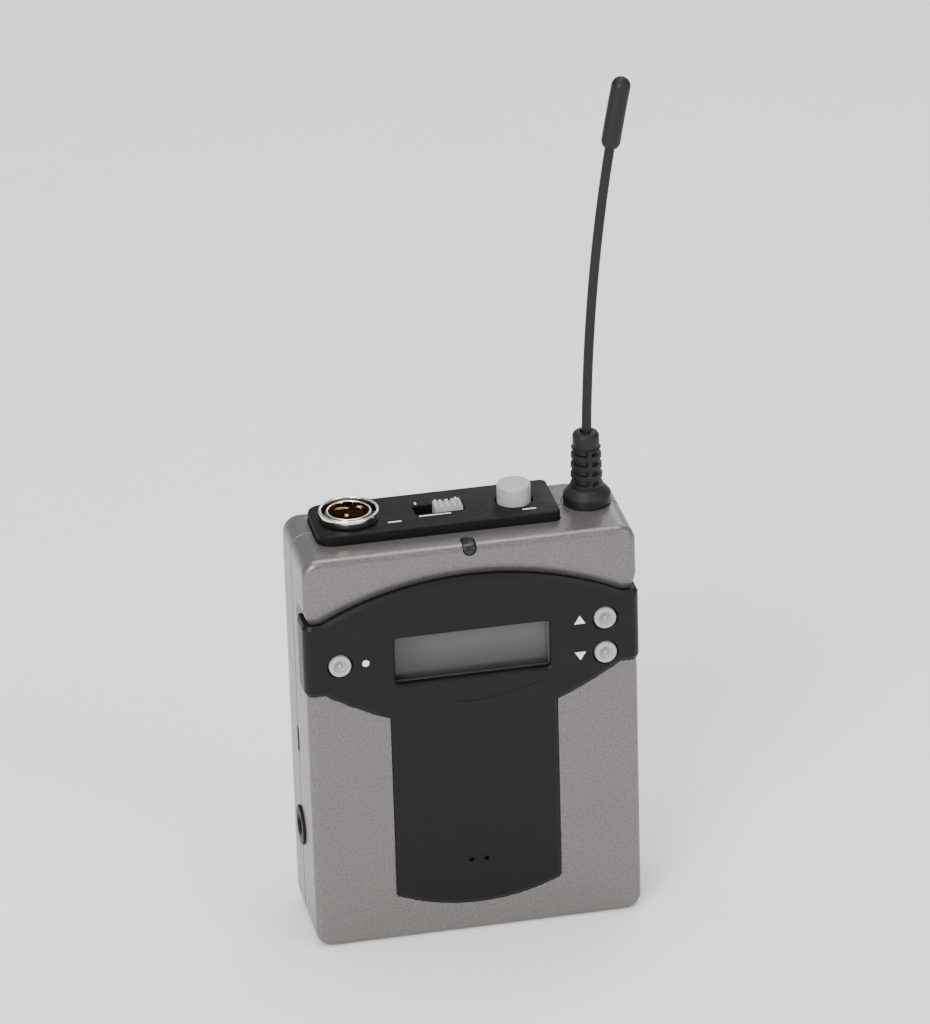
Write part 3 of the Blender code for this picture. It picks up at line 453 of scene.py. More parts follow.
def wrapAround(across, height, out):
    # flat coordinates bent over the case's upright edges: straight, then round, then back along the side
    side = np.sign(across)
    distance = np.abs(across)
    turn = np.clip((distance - flatHalf) / case["edgeRadius"], 0, math.pi / 2)
    beyond = np.maximum(distance - flatHalf - quarterTurn, 0)
    radius = case["edgeRadius"] + out
    x = side * (np.minimum(distance, flatHalf) + radius * np.sin(turn))
    y = frontY + case["edgeRadius"] - radius * np.cos(turn) + beyond
    return np.stack([x, y, height], -1)


def distanceTo(loop, across, height):
    # shortest distance to the loop's segments, negative inside it (an even-odd count of crossings)
    point = np.stack([across, height], -1)
    best = np.full(len(point), 1.0)
    inside = np.zeros(len(point), bool)
    for start, end in zip(loop, np.roll(loop, -1, axis=0)):
        along = end - start
        share = np.clip(((point - start) @ along) / max(along @ along, 1e-18), 0, 1)
        best = np.minimum(best, np.linalg.norm(point - start - share[:, None] * along, axis=1))
        crosses = (start[1] > point[:, 1]) != (end[1] > point[:, 1])
        if abs(along[1]) > 1e-12:
            inside ^= crosses & (point[:, 0] < start[0] + (point[:, 1] - start[1]) * along[0] / along[1])
    return np.where(inside, -best, best)


def eased(value):
    value = np.clip(value, 0, 1)
    return value * value * (3 - 2 * value)


# shells

shellLook = {
    "frontRows": (26, 92),       # along the side and from the edge to the middle
    "rearRows": (4, 4),
    "edgeRows": 9,
    "coveWidth": 2.9 * mm,       # the dip of the shell along the panel
    "coveDepth": 1.1 * mm,
    "covePower": 1.35,           # 1 is a straight slope
    "coveLeast": 0.12,           # its share of that depth beside the tongue
    "pocketDepth": 1.25 * mm,    # under the panel
    "lipInset": 1.0 * mm,        # where the halves overlap behind the seam
    "lipReach": 1.3 * mm,
}


def coveDepth(across, height):
    # a power curve that is deepest at the panel's edge, most of all over the band's arch,
    # and a flat pocket inside the edge
    distance = distanceTo(panelOutline(), across, height)
    archShare = eased((height - panel["bandTopZ"] + 6 * mm) / (6 * mm))
    depth = shellLook["coveDepth"] * (shellLook["coveLeast"] + (1 - shellLook["coveLeast"]) * archShare)
    outside = depth * (1 - np.clip(distance / shellLook["coveWidth"], 0, 1)) ** shellLook["covePower"]
    inside = depth + (shellLook["pocketDepth"] - depth) * eased(-distance / (0.5 * mm))
    return np.where(distance < 0, inside, outside)


def shellCup(name, outerY, seamY, lip, rowCounts, dip=None):
    # rows run from the seam along the side, round the edge, over the face to its centre, and back inside
    inward = 1 if seamY > outerY else -1
    radius = case["edgeRadius"]
    rows = [(seamY, case["seamChamfer"], 0.0), (seamY - inward * case["seamChamfer"], 0.0, 0.0)]
    sideEnd = outerY + inward * radius
    for share in np.linspace(0, 1, rowCounts[0] + 1)[1:]:
        rows.append((rows[1][0] + (sideEnd - rows[1][0]) * share, 0.0, 0.0))
    for turn in np.linspace(0, math.pi / 2, shellLook["edgeRows"] + 1)[1:]:
        rows.append((outerY + inward * radius * (1 - math.sin(turn)),
                     radius * (1 - math.cos(turn)), turn))
    points, outward, flat = [], [], []
    for y, inset, turn in rows:
        ring, direction = caseOutline(inset)
        points.append(np.stack([ring[:, 0], np.full(len(ring), y), ring[:, 1]], -1))
        outward.append(np.stack([direction[:, 0] * math.cos(turn),
                                 np.full(len(ring), -inward * math.sin(turn)),
                                 direction[:, 1] * math.cos(turn)], -1))
        beyond = max(inward * (y - outerY) - radius, 0)
        reach = flatHalf + radius * (math.pi / 2 - turn) + beyond
        onSide = np.abs(direction[:, 0]) > 0.7
        flat.append(np.where(onSide, np.sign(ring[:, 0]) * reach, ring[:, 0]))
    edge = points[-1]
    centre = np.array([0, outerY, caseTop / 2])
    for share in np.linspace(1, 0, rowCounts[1] + 1)[1:]:
        points.append(centre + (edge - centre) * share)
        outward.append(np.broadcast_to((0.0, -inward, 0.0), edge.shape))
        flat.append(points[-1][:, 0])
    points, outward, flat = np.array(points), np.array(outward), np.array(flat)
    if dip:
        depth = dip(flat.ravel(), points[..., 2].ravel()).reshape(flat.shape)
        points = points - outward * depth[..., None]
    # inside: from the inner face's middle out to the wall, along it, and round the overlapping lip
    lipInset = shellLook["lipInset"] - 0.05 * mm * lip
    lipY = seamY + inward * lip * (shellLook["lipReach"] + 0.15 * mm * (1 - lip))
    innerY = outerY + inward * case["wall"]
    inner = [np.broadcast_to((0, innerY, caseTop / 2), edge.shape)]
    for y, inset in ((innerY, case["wall"]), (lipY, case["wall"]), (lipY, lipInset), (seamY, lipInset)):
        ring, _ = caseOutline(inset)
        inner.append(np.stack([ring[:, 0], np.full(len(ring), y), ring[:, 1]], -1))
    columns = len(edge)
    rings = np.concatenate([points, inner])
    innerFaces = gridFaces(len(inner), columns) + len(points) * columns
    faces = np.concatenate([gridFaces(len(points), columns), innerFaces])
    rim = np.arange(columns)
    rimNext = (rim + 1) % columns
    last = (len(rings) - 1) * columns
    rimFaces = np.stack([rim, rimNext, last + rimNext, last + rim], -1)
    return newPiece(name, rings.reshape(-1, 3), np.concatenate([faces, rimFaces]).tolist())


def boxCutter(name, x, y, z):
    return stacked(name, boxOutline(*x, *y), [(z[0], 0), (z[1], 0)])


def hole(name, radius, reach, centre, axis="z", sides=64):
    # a plain round cutter between two heights along the axis
    return turned(name, [(radius, reach[0]), (radius, reach[1])], centre, axis, sides)


def sheet(name, low, high, corner, edge):
    # a flat upright sheet with round corners, its front edge eased
    outline = roundedOutline(low.x, high.x, low.z, high.z, [corner] * 4)
    return stacked(name, outline, [(low.y, -edge), (low.y + edge, 0), (high.y, 0)], "y")


topLow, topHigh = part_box("top_panel")
bootLow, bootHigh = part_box("antenna_boot")
bootAt, bootRadius = (bootLow + bootHigh) / 2, (bootHigh.x - bootLow.x) / 2
socketLow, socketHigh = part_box("mic_socket_body")
socketAt = (socketLow + socketHigh) / 2
sliderLow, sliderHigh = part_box("level_slider")
buttonLow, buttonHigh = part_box("power_button")
buttonAt = (buttonLow + buttonHigh) / 2
lensLow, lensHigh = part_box("display_lens")
jackLow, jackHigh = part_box("charging_jack")
jackAt = (jackLow + jackHigh) / 2
keyCentres = {name: (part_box(name)[0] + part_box(name)[1]) / 2 for name in ("key_set", "key_up", "key_down")}
screwBoxes = [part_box(f"case_screw_{number}") for number in range(1, 5)]
clipJoint = next(joint for joint in frame["joints"] if joint["child"] == "belt_clip")
doorLow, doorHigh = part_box("battery_door")

topPlate = {
    "cornerRadii": (3.0 * mm, 1.3 * mm, 1.3 * mm, 3.0 * mm),
    "seatGap": 0.15 * mm,
    "edge": 0.35 * mm,
    "slotX": (-8.1 * mm, 1.5 * mm),
    "slotHalf": 1.9 * mm,
    "socketHole": 5.0 * mm,
    "buttonHole": 3.6 * mm,
}
plateY = (topLow.y + topHigh.y) / 2
slotX, slotHalf = topPlate["slotX"], topPlate["slotHalf"]
slotY = (plateY - slotHalf, plateY + slotHalf)
plateOutline = roundedOutline(topLow.x, topHigh.x, topLow.y, topHigh.y, topPlate["cornerRadii"])


def topCutters():
    # the plate's seat, what passes down through it, and the shallow seat of the antenna's foot
    below = caseTop - case["wall"] - spare
    seatZ, seatTop = caseTop - 0.2 * mm, caseTop + 0.1 * mm
    bootSeat = [(0, seatZ), (bootRadius + 0.3 * mm, seatZ), (bootRadius + 0.65 * mm, seatTop), (0, seatTop)]
    return [
        turned("bootSeat", bootSeat, (bootAt.x, bootAt.y, 0), sides=80),
        stacked("plateSeat", movedOutline(plateOutline, topPlate["seatGap"]),
                [(topLow.z - 0.25 * mm, 0), (topHigh.z + spare, 0)]),
        hole("socketWell", topPlate["socketHole"], (below, topLow.z), (socketAt.x, plateY, 0)),
        hole("buttonWell", topPlate["buttonHole"], (below, topLow.z), (buttonAt.x, plateY, 0)),
        boxCutter("sliderWell", slotX, slotY, (below, topLow.z)),
    ]


pipe = {"halfWidth": 1.25 * mm, "clearance": 0.12 * mm}
pipeLow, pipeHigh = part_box("status_light_pipe")
notch = {"z": 40 * mm, "height": 5.5 * mm, "width": 2.4 * mm, "depth": 0.9 * mm}
seamY = (case["frontSeamY"] + case["rearSeamY"]) / 2


def pipeOutline(grow):
    # in X and Y, seen from above: straight sides and a round inner end
    half = pipe["halfWidth"] + grow
    turn = np.linspace(0, math.pi, 13)
    end = np.stack([half * np.cos(turn), pipeHigh.y - pipe["halfWidth"] + half * np.sin(turn)], -1)
    start = frontY + case["wall"]
    return np.concatenate([[(-half, start), (half, start)], end])


def frontDropOutline(grow):
    # in X and Z, seen from the front: straight sides and a round lower end
    half = pipe["halfWidth"] + grow
    turn = np.linspace(math.pi, 2 * math.pi, 13)
    low = np.stack([half * np.cos(turn), pipeLow.z + pipe["halfWidth"] + half * np.sin(turn)], -1)
    return np.concatenate([low, [(half, caseTop + spare), (-half, caseTop + spare)]])


def sideCutters():
    # the jack's well and the pry notches on the seam
    jackReach = (-caseHalf - spare, -caseHalf + 3 * mm)
    cutters = [hole("jackWell", 3.5 * mm, jackReach, (0, jackAt.y, jackAt.z), "x")]
    for side in (-1, 1):
        outer = side * (caseHalf + spare)
        inner = side * (caseHalf - notch["depth"])
        cutters.append(boxCutter("pryNotch", sorted((inner, outer)),
                                 (seamY - notch["width"] / 2, seamY + notch["width"] / 2),
                                 (notch["z"] - notch["height"] / 2, notch["z"] + notch["height"] / 2)))
    return cutters


frontShell = shellCup("frontShell", frontY, case["frontSeamY"], -1, shellLook["frontRows"], coveDepth)
frontCutters = topCutters() + sideCutters()
wellReach = (frontY - spare, frontY + 3 * mm)
windowGap = 0.2 * mm
windowOutline = roundedOutline(lensLow.x - windowGap, lensHigh.x + windowGap,
                               lensLow.z - windowGap, lensHigh.z + windowGap, [0.5 * mm] * 4)
frontCutters.append(stacked("windowWell", windowOutline, [(wellReach[0], 0), (wellReach[1], 0)], "y"))
for name, centre in keyCentres.items():
    frontCutters.append(hole(f"{name}Well", 2.4 * mm, wellReach, (centre.x, 0, centre.z), "y"))
frontCutters.append(stacked("pipeTopWell", pipeOutline(pipe["clearance"]),
                            [(caseTop - 2.6 * mm, 0), (caseTop + spare, 0)]))
frontCutters.append(stacked("pipeFrontWell", frontDropOutline(pipe["clearance"]),
                            [(frontY - spare, 0), (frontY + 2.4 * mm, 0)], "y"))
carve(frontShell, frontCutters)
place(frontShell, "root", ["front_shell"], "paint")
print("front shell made,", len(frontShell.data.polygons), "faces")

# rear shell with the clip's lugs, the door's opening and the screws' seats
rearShell = shellCup("rearShell", backY, case["rearSeamY"], 1, shellLook["rearRows"])
lug = {"half": 2.2 * mm, "near": 20.3 * mm, "far": 24.7 * mm, "bore": 1.05 * mm, "edge": 0.3 * mm}
pivotY, pivotZ = clipJoint["pos_m"][1], clipJoint["pos_m"][2]
lugs = []
for side in (-1, 1):
    turn = np.linspace(-math.pi / 2, math.pi / 2, 17)
    nose = np.stack([pivotY + lug["half"] * np.cos(turn), pivotZ + lug["half"] * np.sin(turn)], -1)
    lugRoot = backY - 0.6 * mm
    profile = np.concatenate([[(lugRoot, pivotZ - lug["half"])], nose, [(lugRoot, pivotZ + lug["half"])]])
    near, far = sorted((side * lug["near"], side * lug["far"]))
    edge = lug["edge"]
    lugSteps = [(near, -edge), (near + edge, 0), (far - edge, 0), (far, -edge)]
    lugs.append(stacked("lug", profile, lugSteps, "x"))
carve(rearShell, lugs, "UNION")
doorGap = 0.25 * mm
rearCutters = topCutters() + sideCutters()
rearCutters.append(boxCutter("doorOpening", (doorLow.x - doorGap, doorHigh.x + doorGap),
                             (backY - case["wall"] - 0.1 * mm, backY + spare),
                             (-spare, doorHigh.z + doorGap)))
for side in (-1, 1):
    reach = sorted((side * (lug["near"] - spare), side * (lug["far"] + spare)))
    rearCutters.append(hole("lugBore", lug["bore"], reach, (0, pivotY, pivotZ), "x", 32))
for low, high in screwBoxes:
    at = (low + high) / 2
    rearCutters.append(turned("screwSeat", [(2.3 * mm, backY - 1.5 * mm), (2.3 * mm, backY - 0.2 * mm),
                                            (2.6 * mm, backY + 0.1 * mm)], (at.x, 0, at.z), "y", 48))
carve(rearShell, rearCutters)
place(rearShell, "root", ["rear_shell"], "paint")
print("rear shell made,", len(rearShell.data.polygons), "faces")


# display panel

panelLook = {
    "windowHalfWidth": 15.25 * mm,
    "windowHalfHeight": 5.0 * mm,
    "windowChamfer": 0.35 * mm,
    "keyHole": 2.4 * mm,
    "ventRadius": 0.5 * mm,
    "ventX": 1.5 * mm,
    "ventZ": 16 * mm,
    "creaseHalf": 15.5 * mm,
    "creaseSag": 3.6 * mm,
    "creaseDrop": 0.6 * mm,       # below the band's lower edge at the crease's ends
    "creaseWidth": 0.9 * mm,
    "creaseDepth": 0.2 * mm,
}
windowAt = (lensLow + lensHigh) / 2


def flatPanel():
    # rings step up the side wall and over a wide chamfer, in (across, -out, height)
    proud, chamferLow = panel["proud"], panel["proud"] - panel["chamferDrop"]
    steps = [(-shellLook["pocketDepth"] + 0.05 * mm, 0.0), (chamferLow - 0.1 * mm, 0.0),
             (chamferLow, -0.06 * mm), (proud - 0.05 * mm, -panel["chamferWidth"] + 0.12 * mm),
             (proud, -panel["chamferWidth"])]
    piece = stacked("displayPanelSurface", panelOutline(), [(-out, move) for out, move in steps], "y")
    work = bmesh.new()
    work.from_mesh(piece.data)
    for side in (-1, 1):
        for share in np.linspace(0, 1, 11):
            cutAt = side * (flatHalf + quarterTurn * share)
            bmesh.ops.bisect_plane(work, geom=work.verts[:] + work.edges[:] + work.faces[:],
                                   plane_co=(cutAt, 0, 0), plane_no=(1, 0, 0))
    work.to_mesh(piece.data)
    work.free()
    count = len(piece.data.vertices)
    flat = np.empty(count * 3)
    piece.data.vertices.foreach_get("co", flat)
    flat = flat.reshape(-1, 3)
    piece.data.vertices.foreach_set("co", wrapAround(flat[:, 0], flat[:, 2], -flat[:, 1]).ravel())
    tidyMesh(piece.data, 25)
    return piece


displayPanel = flatPanel()
panelFace = frontY - panel["proud"]
cutEnd = panelFace + 3 * mm     # behind the panel's back
halfWidth, halfHeight = panelLook["windowHalfWidth"], panelLook["windowHalfHeight"]
chamfer, keyHole = panelLook["windowChamfer"], panelLook["keyHole"]
openingOutline = roundedOutline(windowAt.x - halfWidth, windowAt.x + halfWidth,
                                windowAt.z - halfHeight, windowAt.z + halfHeight, [0.8 * mm] * 4)
openingSteps = [(panelFace - 0.1 * mm, chamfer + 0.1 * mm), (panelFace + chamfer, 0), (cutEnd, 0)]
panelCutters = [stacked("windowOpening", openingOutline, openingSteps, "y")]
keyOpening = [(keyHole + 0.25 * mm, panelFace - 0.05 * mm), (keyHole, panelFace + 0.2 * mm),
              (keyHole, cutEnd)]
for name, centre in keyCentres.items():
    panelCutters.append(turned(f"{name}Opening", keyOpening, (centre.x, 0, centre.z), "y"))
for side in (-1, 1):
    panelCutters.append(hole("vent", panelLook["ventRadius"], (panelFace - spare, panelFace + 0.8 * mm),
                             (side * panelLook["ventX"], 0, panelLook["ventZ"]), "y", 24))
creaseEnd = panel["bandBottomZ"] - panelLook["creaseDrop"]
creaseLine = arcPoints((-panelLook["creaseHalf"], creaseEnd), (panelLook["creaseHalf"], creaseEnd),
                       panelLook["creaseSag"], 60)
creaseShare = np.sin(np.linspace(0, math.pi, 61)) ** 0.6
creaseRadius = panelLook["creaseWidth"]
creasePath = np.stack([creaseLine[:, 0],
                       panelFace - creaseRadius + panelLook["creaseDepth"] * creaseShare - 0.01 * mm,
                       creaseLine[:, 1]], -1)
panelCutters.append(tube("crease", creasePath, creaseRadius, 40))
carve(displayPanel, panelCutters, sharpAngle=20)
place(displayPanel, "root", ["display_panel"], "panel")
evenShading = displayPanel.modifiers.new("evenShading", "WEIGHTED_NORMAL")     # keeps the flat face flat
evenShading.keep_sharp = True
print("display panel made,", len(displayPanel.data.polygons), "faces")

# window and the display behind it
windowPane = sheet("windowPane", lensLow, lensHigh, 0.6 * mm, 0.12 * mm)
place(windowPane, "root", ["display_lens"], "window")
# light falls through the clear pane onto the display
windowPane.visible_shadow = windowPane.visible_diffuse = windowPane.visible_glossy = False
lcdLow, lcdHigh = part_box("lcd_module")
lcdGlass = sheet("lcdGlass", lcdLow, lcdHigh, 0.4 * mm, 0.1 * mm)
place(lcdGlass, "root", ["lcd_module"], "lcd")
# painted shade: the display's colour is darkened towards its lower and left edges, standing in for the shade
# that the window's deep frame casts there
paintedShadeAlong(materials["lcd"], "Z", lensLow.z + 0.5 * mm, lensLow.z + 7 * mm, 0.45)
paintedShadeAlong(materials["lcd"], "X", lensLow.x, lensLow.x + 9 * mm, 0.55)

# keys: a flat ring round a dish with a small dot in its middle
keyLook = {"radius": 2.15 * mm, "edge": 0.3 * mm, "dotRadius": 0.45 * mm, "dotBack": 0.15 * mm,
           "dishRadius": 1.35 * mm, "dishDepth": 0.9 * mm, "flange": 3.0 * mm, "flangeThickness": 0.4 * mm}
keyPieces = {"key_set": ("keySetCap", "set_key"), "key_up": ("keyUpCap", "up_key"),
             "key_down": ("keyDownCap", "down_key")}
for name, centre in keyCentres.items():
    low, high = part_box(name)
    capY, keyBackY = low.y, high.y
    dish, depth = keyLook["dishRadius"], keyLook["dishDepth"]
    # the dot is half an ellipse, and the dish is flat in its middle and rises by a fourth power
    dotY = capY + keyLook["dotBack"]
    profile = [(keyLook["dotRadius"] * math.sin(a), dotY + depth * 0.5 * (1 - math.cos(a)))
               for a in np.linspace(0, math.pi / 2, 7)]
    profile += [(dish * share, capY + depth * (1 - share ** 4)) for share in np.linspace(0.35, 1, 9)]
    profile += quarterRound(keyLook["radius"], capY, keyLook["edge"], -1, 7)
    flangeY = keyBackY - keyLook["flangeThickness"]
    profile += [(keyLook["radius"], flangeY), (keyLook["flange"], flangeY), (keyLook["flange"], keyBackY),
                (0, keyBackY)]
    capName, body = keyPieces[name]
    key = turned(capName, profile, (centre.x, 0, centre.z), "y", 56, sharpAngle=50)
    place(key, body, [name], "keyGrey")
print("window and keys made")


# status light pipe, following the case's top front edge

def lightPipe():
    # a skin across the top, round the edge and down the front, with a rounded end at both
    radius = case["edgeRadius"]
    frontDrop = caseTop - radius - pipeLow.z
    topRun = pipeHigh.y - frontY - radius
    quarter = radius * math.pi / 2
    middleRun, halfRun = (quarter + topRun - frontDrop) / 2, (quarter + topRun + frontDrop) / 2
    along = middleRun - halfRun * np.cos(np.linspace(0, math.pi, 81))
    turn = np.clip(along / radius, 0, math.pi / 2)
    y = frontY + radius * (1 - np.cos(turn)) + np.maximum(along - quarter, 0)
    z = caseTop - radius + radius * np.sin(turn) + np.minimum(along, 0)
    outY, outZ = -np.cos(turn), np.sin(turn)
    fromEnd = np.minimum(along + frontDrop, quarter + topRun - along)
    fromRound = 1 - np.clip(fromEnd / pipe["halfWidth"], 0, 1)
    half = pipe["halfWidth"] * np.sqrt(np.clip(1 - fromRound ** 2, 0.0004, 1))
    section = np.array([(-1, -2.0), (-1, -0.4), (-0.93, -0.3), (-0.8, -0.25), (0, -0.22),
                        (0.8, -0.25), (0.93, -0.3), (1, -0.4), (1, -2.0)])
    rings = np.empty((len(along), len(section), 3))
    rings[..., 0] = half[:, None] * section[:, 0]
    rings[..., 1] = y[:, None] + outY[:, None] * section[:, 1] * mm
    rings[..., 2] = z[:, None] + outZ[:, None] * section[:, 1] * mm
    inside = frontY + 1.9 * mm
    rings[..., 1] = np.where(section[:, 1] < -1, np.maximum(rings[..., 1], inside), rings[..., 1])
    rings[..., 2] = np.where(section[:, 1] < -1, np.minimum(rings[..., 2], caseTop - 1.9 * mm), rings[..., 2])
    return ringLoft("statusPipe", rings, sharpAngle=40)


place(lightPipe(), "root", ["status_light_pipe"], "smoke")


# top plate and its controls

edge = topPlate["edge"]
plateSteps = [(topLow.z, 0), (topHigh.z - edge, 0), (topHigh.z - edge * 0.45, -edge * 0.15),
              (topHigh.z - edge * 0.12, -edge * 0.5), (topHigh.z, -edge)]
topPiece = stacked("topPlate", plateOutline, plateSteps, sharpAngle=30)
slotOutline = roundedOutline(*slotX, *slotY, [0.3 * mm] * 4, 4)
plateBelow, plateAbove = topLow.z - spare, topHigh.z + spare
bevelLow, bevelTop, bevelOut = topHigh.z - 0.2 * mm, topHigh.z + 0.1 * mm, 0.3 * mm
buttonHole = topPlate["buttonHole"]
plateCutters = [
    hole("socketHole", topPlate["socketHole"], (plateBelow, plateAbove), (socketAt.x, plateY, 0)),
    turned("buttonHole", [(buttonHole, plateBelow), (buttonHole, bevelLow),
                          (buttonHole + bevelOut, bevelTop)], (buttonAt.x, plateY, 0)),
    stacked("slotHole", slotOutline, [(plateBelow, 0), (bevelLow, 0), (bevelTop, bevelOut)]),
]
carve(topPiece, plateCutters, sharpAngle=30)
place(topPiece, "root", ["top_panel"], "topPlate")

# level slider: a ribbed stem that stands in the slot, on a flange that runs under the plate
sliderLook = {"stem": 5.4 * mm, "rib": 1.225 * mm, "ribDepth": 0.5 * mm, "flangeHeight": 1.6 * mm,
              "sideGap": 0.3 * mm}


def sliderPiece():
    # upright section: the top runs over broad ribs parted by narrow grooves, and is extruded across
    stemHalf = sliderLook["stem"] / 2
    stemY = slotHalf - sliderLook["sideGap"]
    run = np.linspace(-stemHalf + 0.25 * mm, stemHalf - 0.25 * mm, 97)
    groove = (0.5 - 0.5 * np.cos(2 * np.pi * run / sliderLook["rib"])) ** 3
    top = np.stack([run, sliderHigh.z - sliderLook["ribDepth"] * groove], -1)[::-1]
    flangeTop, stemTop = sliderLow.z + sliderLook["flangeHeight"], sliderHigh.z - 0.3 * mm
    flangeHalf = (sliderHigh.x - sliderLow.x) / 2
    right = [(flangeHalf, sliderLow.z), (flangeHalf, flangeTop), (stemHalf, flangeTop), (stemHalf, stemTop)]
    left = [(-x, z) for x, z in right]
    outline = np.concatenate([left[:1], right, top, left[:0:-1]])
    outline[:, 0] += (sliderLow.x + sliderHigh.x) / 2
    return stacked("levelKnob", outline, [(plateY - stemY, 0), (plateY + stemY, 0)], "y", 30)


place(sliderPiece(), "level_slider", ["level_slider"], "keyGrey")

# power button: a slightly domed cap with a pip
buttonLook = {"radius": 3.3 * mm, "edge": 0.6 * mm, "dome": 0.2 * mm, "pip": 0.75 * mm, "pipDome": 0.12 * mm,
              "flange": 4.0 * mm, "flangeHeight": 0.6 * mm}
buttonTop, pip, flange = buttonHigh.z, buttonLook["pip"], buttonLook["flange"]
shoulder = buttonTop - buttonLook["dome"]
flangeTop = buttonLow.z + buttonLook["flangeHeight"]
buttonProfile = [(pip * math.sin(a) * 0.8, buttonTop - buttonLook["pipDome"] * (1 - math.cos(a)))
                 for a in np.linspace(0, math.pi / 2, 9)[:6]]
buttonProfile += [(pip, buttonTop - 0.22 * mm), (pip + 0.15 * mm, shoulder)]
buttonProfile += quarterRound(buttonLook["radius"], shoulder, buttonLook["edge"], 1, 9)
buttonProfile += [(buttonLook["radius"], flangeTop), (flange, flangeTop),
                  (flange, buttonLow.z), (0, buttonLow.z)]
place(turned("powerButtonCap", buttonProfile, (buttonAt.x, plateY, 0), sides=72, sharpAngle=45),
      "power_button", ["power_button"], "keyGrey")
print("top plate and controls made")

# microphone socket
ringLow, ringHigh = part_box("mic_socket_ring")
socket = {"inner": 5.25 * mm, "sleeve": 0.42 * mm, "sleeveReach": 1.9 * mm, "sleeveRise": 0.35 * mm,
          "cavity": 4.0 * mm, "cavityFloor": 8.4 * mm, "keyWidth": 1.4 * mm, "pinBelow": 1.6 * mm}
ringOuter = (ringHigh.x - ringLow.x) / 2
socketCentre = (socketAt.x, plateY, 0)
bezelProfile = [(socket["inner"], ringLow.z), (ringOuter - 0.1 * mm, ringLow.z),
                (ringOuter, ringLow.z + 0.1 * mm)]
bezelProfile += halfRound(socket["inner"], ringOuter - socket["inner"], ringHigh.z, 13)
bezel = turned("socketBezel", bezelProfile, socketCentre, sides=96, closed=True, sharpAngle=50)
place(bezel, "root", ["mic_socket_ring"], "chrome")
bezel.visible_diffuse = False     # no stray light spots thrown onto the paint
bodyRadius = (socketHigh.x - socketLow.x) / 2
cavityFloor = socketHigh.z - socket["cavityFloor"]
cavity = socket["cavity"]
socketBody = turned("socketInsert", [
    (0, socketLow.z), (bodyRadius, socketLow.z), (bodyRadius, socketHigh.z - 0.25 * mm),
    (bodyRadius - 0.25 * mm, socketHigh.z), (cavity + 0.2 * mm, socketHigh.z),
    (cavity, socketHigh.z - 0.2 * mm), (cavity, cavityFloor), (0, cavityFloor)], socketCentre, sides=72)
keyway = socket["keyWidth"] / 2
carve(socketBody, [boxCutter("keyway", (socketAt.x - keyway, socketAt.x + keyway),
                             (plateY + cavity - 0.5 * mm, plateY + cavity + 0.35 * mm),
                             (cavityFloor + 1 * mm, socketHigh.z + spare))])
place(socketBody, "root", ["mic_socket_body"], "phenolic")
sleeveTop = socketHigh.z + socket["sleeveRise"]
sleeveFoot = sleeveTop - socket["sleeveReach"]
sleeveInner = cavity - 0.06 * mm
sleeveProfile = [(sleeveInner, sleeveFoot), (sleeveInner + socket["sleeve"], sleeveFoot)]
sleeveProfile += halfRound(sleeveInner, socket["sleeve"], sleeveTop, 13)
sleeve = turned("socketSleeve", sleeveProfile, socketCentre, sides=96, closed=True, sharpAngle=50)
place(sleeve, "root", [], "chrome")
for number in range(1, 4):
    low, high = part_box(f"mic_pin_{number}")
    at = (low + high) / 2
    radius = (high.x - low.x) / 2
    tip = quarterRound(radius, socketHigh.z - socket["pinBelow"], radius, 1, 7)[::-1]
    pin = turned(f"socketPin{number}", [(0, low.z), (radius, low.z)] + tip, (at.x, at.y, 0), sides=20)
    place(pin, "root", [f"mic_pin_{number}"], "gilt")
print("microphone socket made")


# antenna

boot = {
    "bore": 1.15 * mm,
    "flangeHeight": 3.0 * mm,
    "neckLow": 3.15 * mm,         # radii at the foot and the head of the ribbed neck
    "neckHigh": 2.9 * mm,
    "neckHeight": 8.2 * mm,
    "collarRadius": 2.6 * mm,
    "collarEdge": 0.9 * mm,
    "grooves": 4,
    "grooveDepth": 0.85 * mm,
    "webShare": 0.17,             # the part of each groove's turn that stays solid
    "webTurn": -86,               # in degrees, towards the front
    "seat": 0.55 * mm,            # how far the foot reaches down into its seat
}


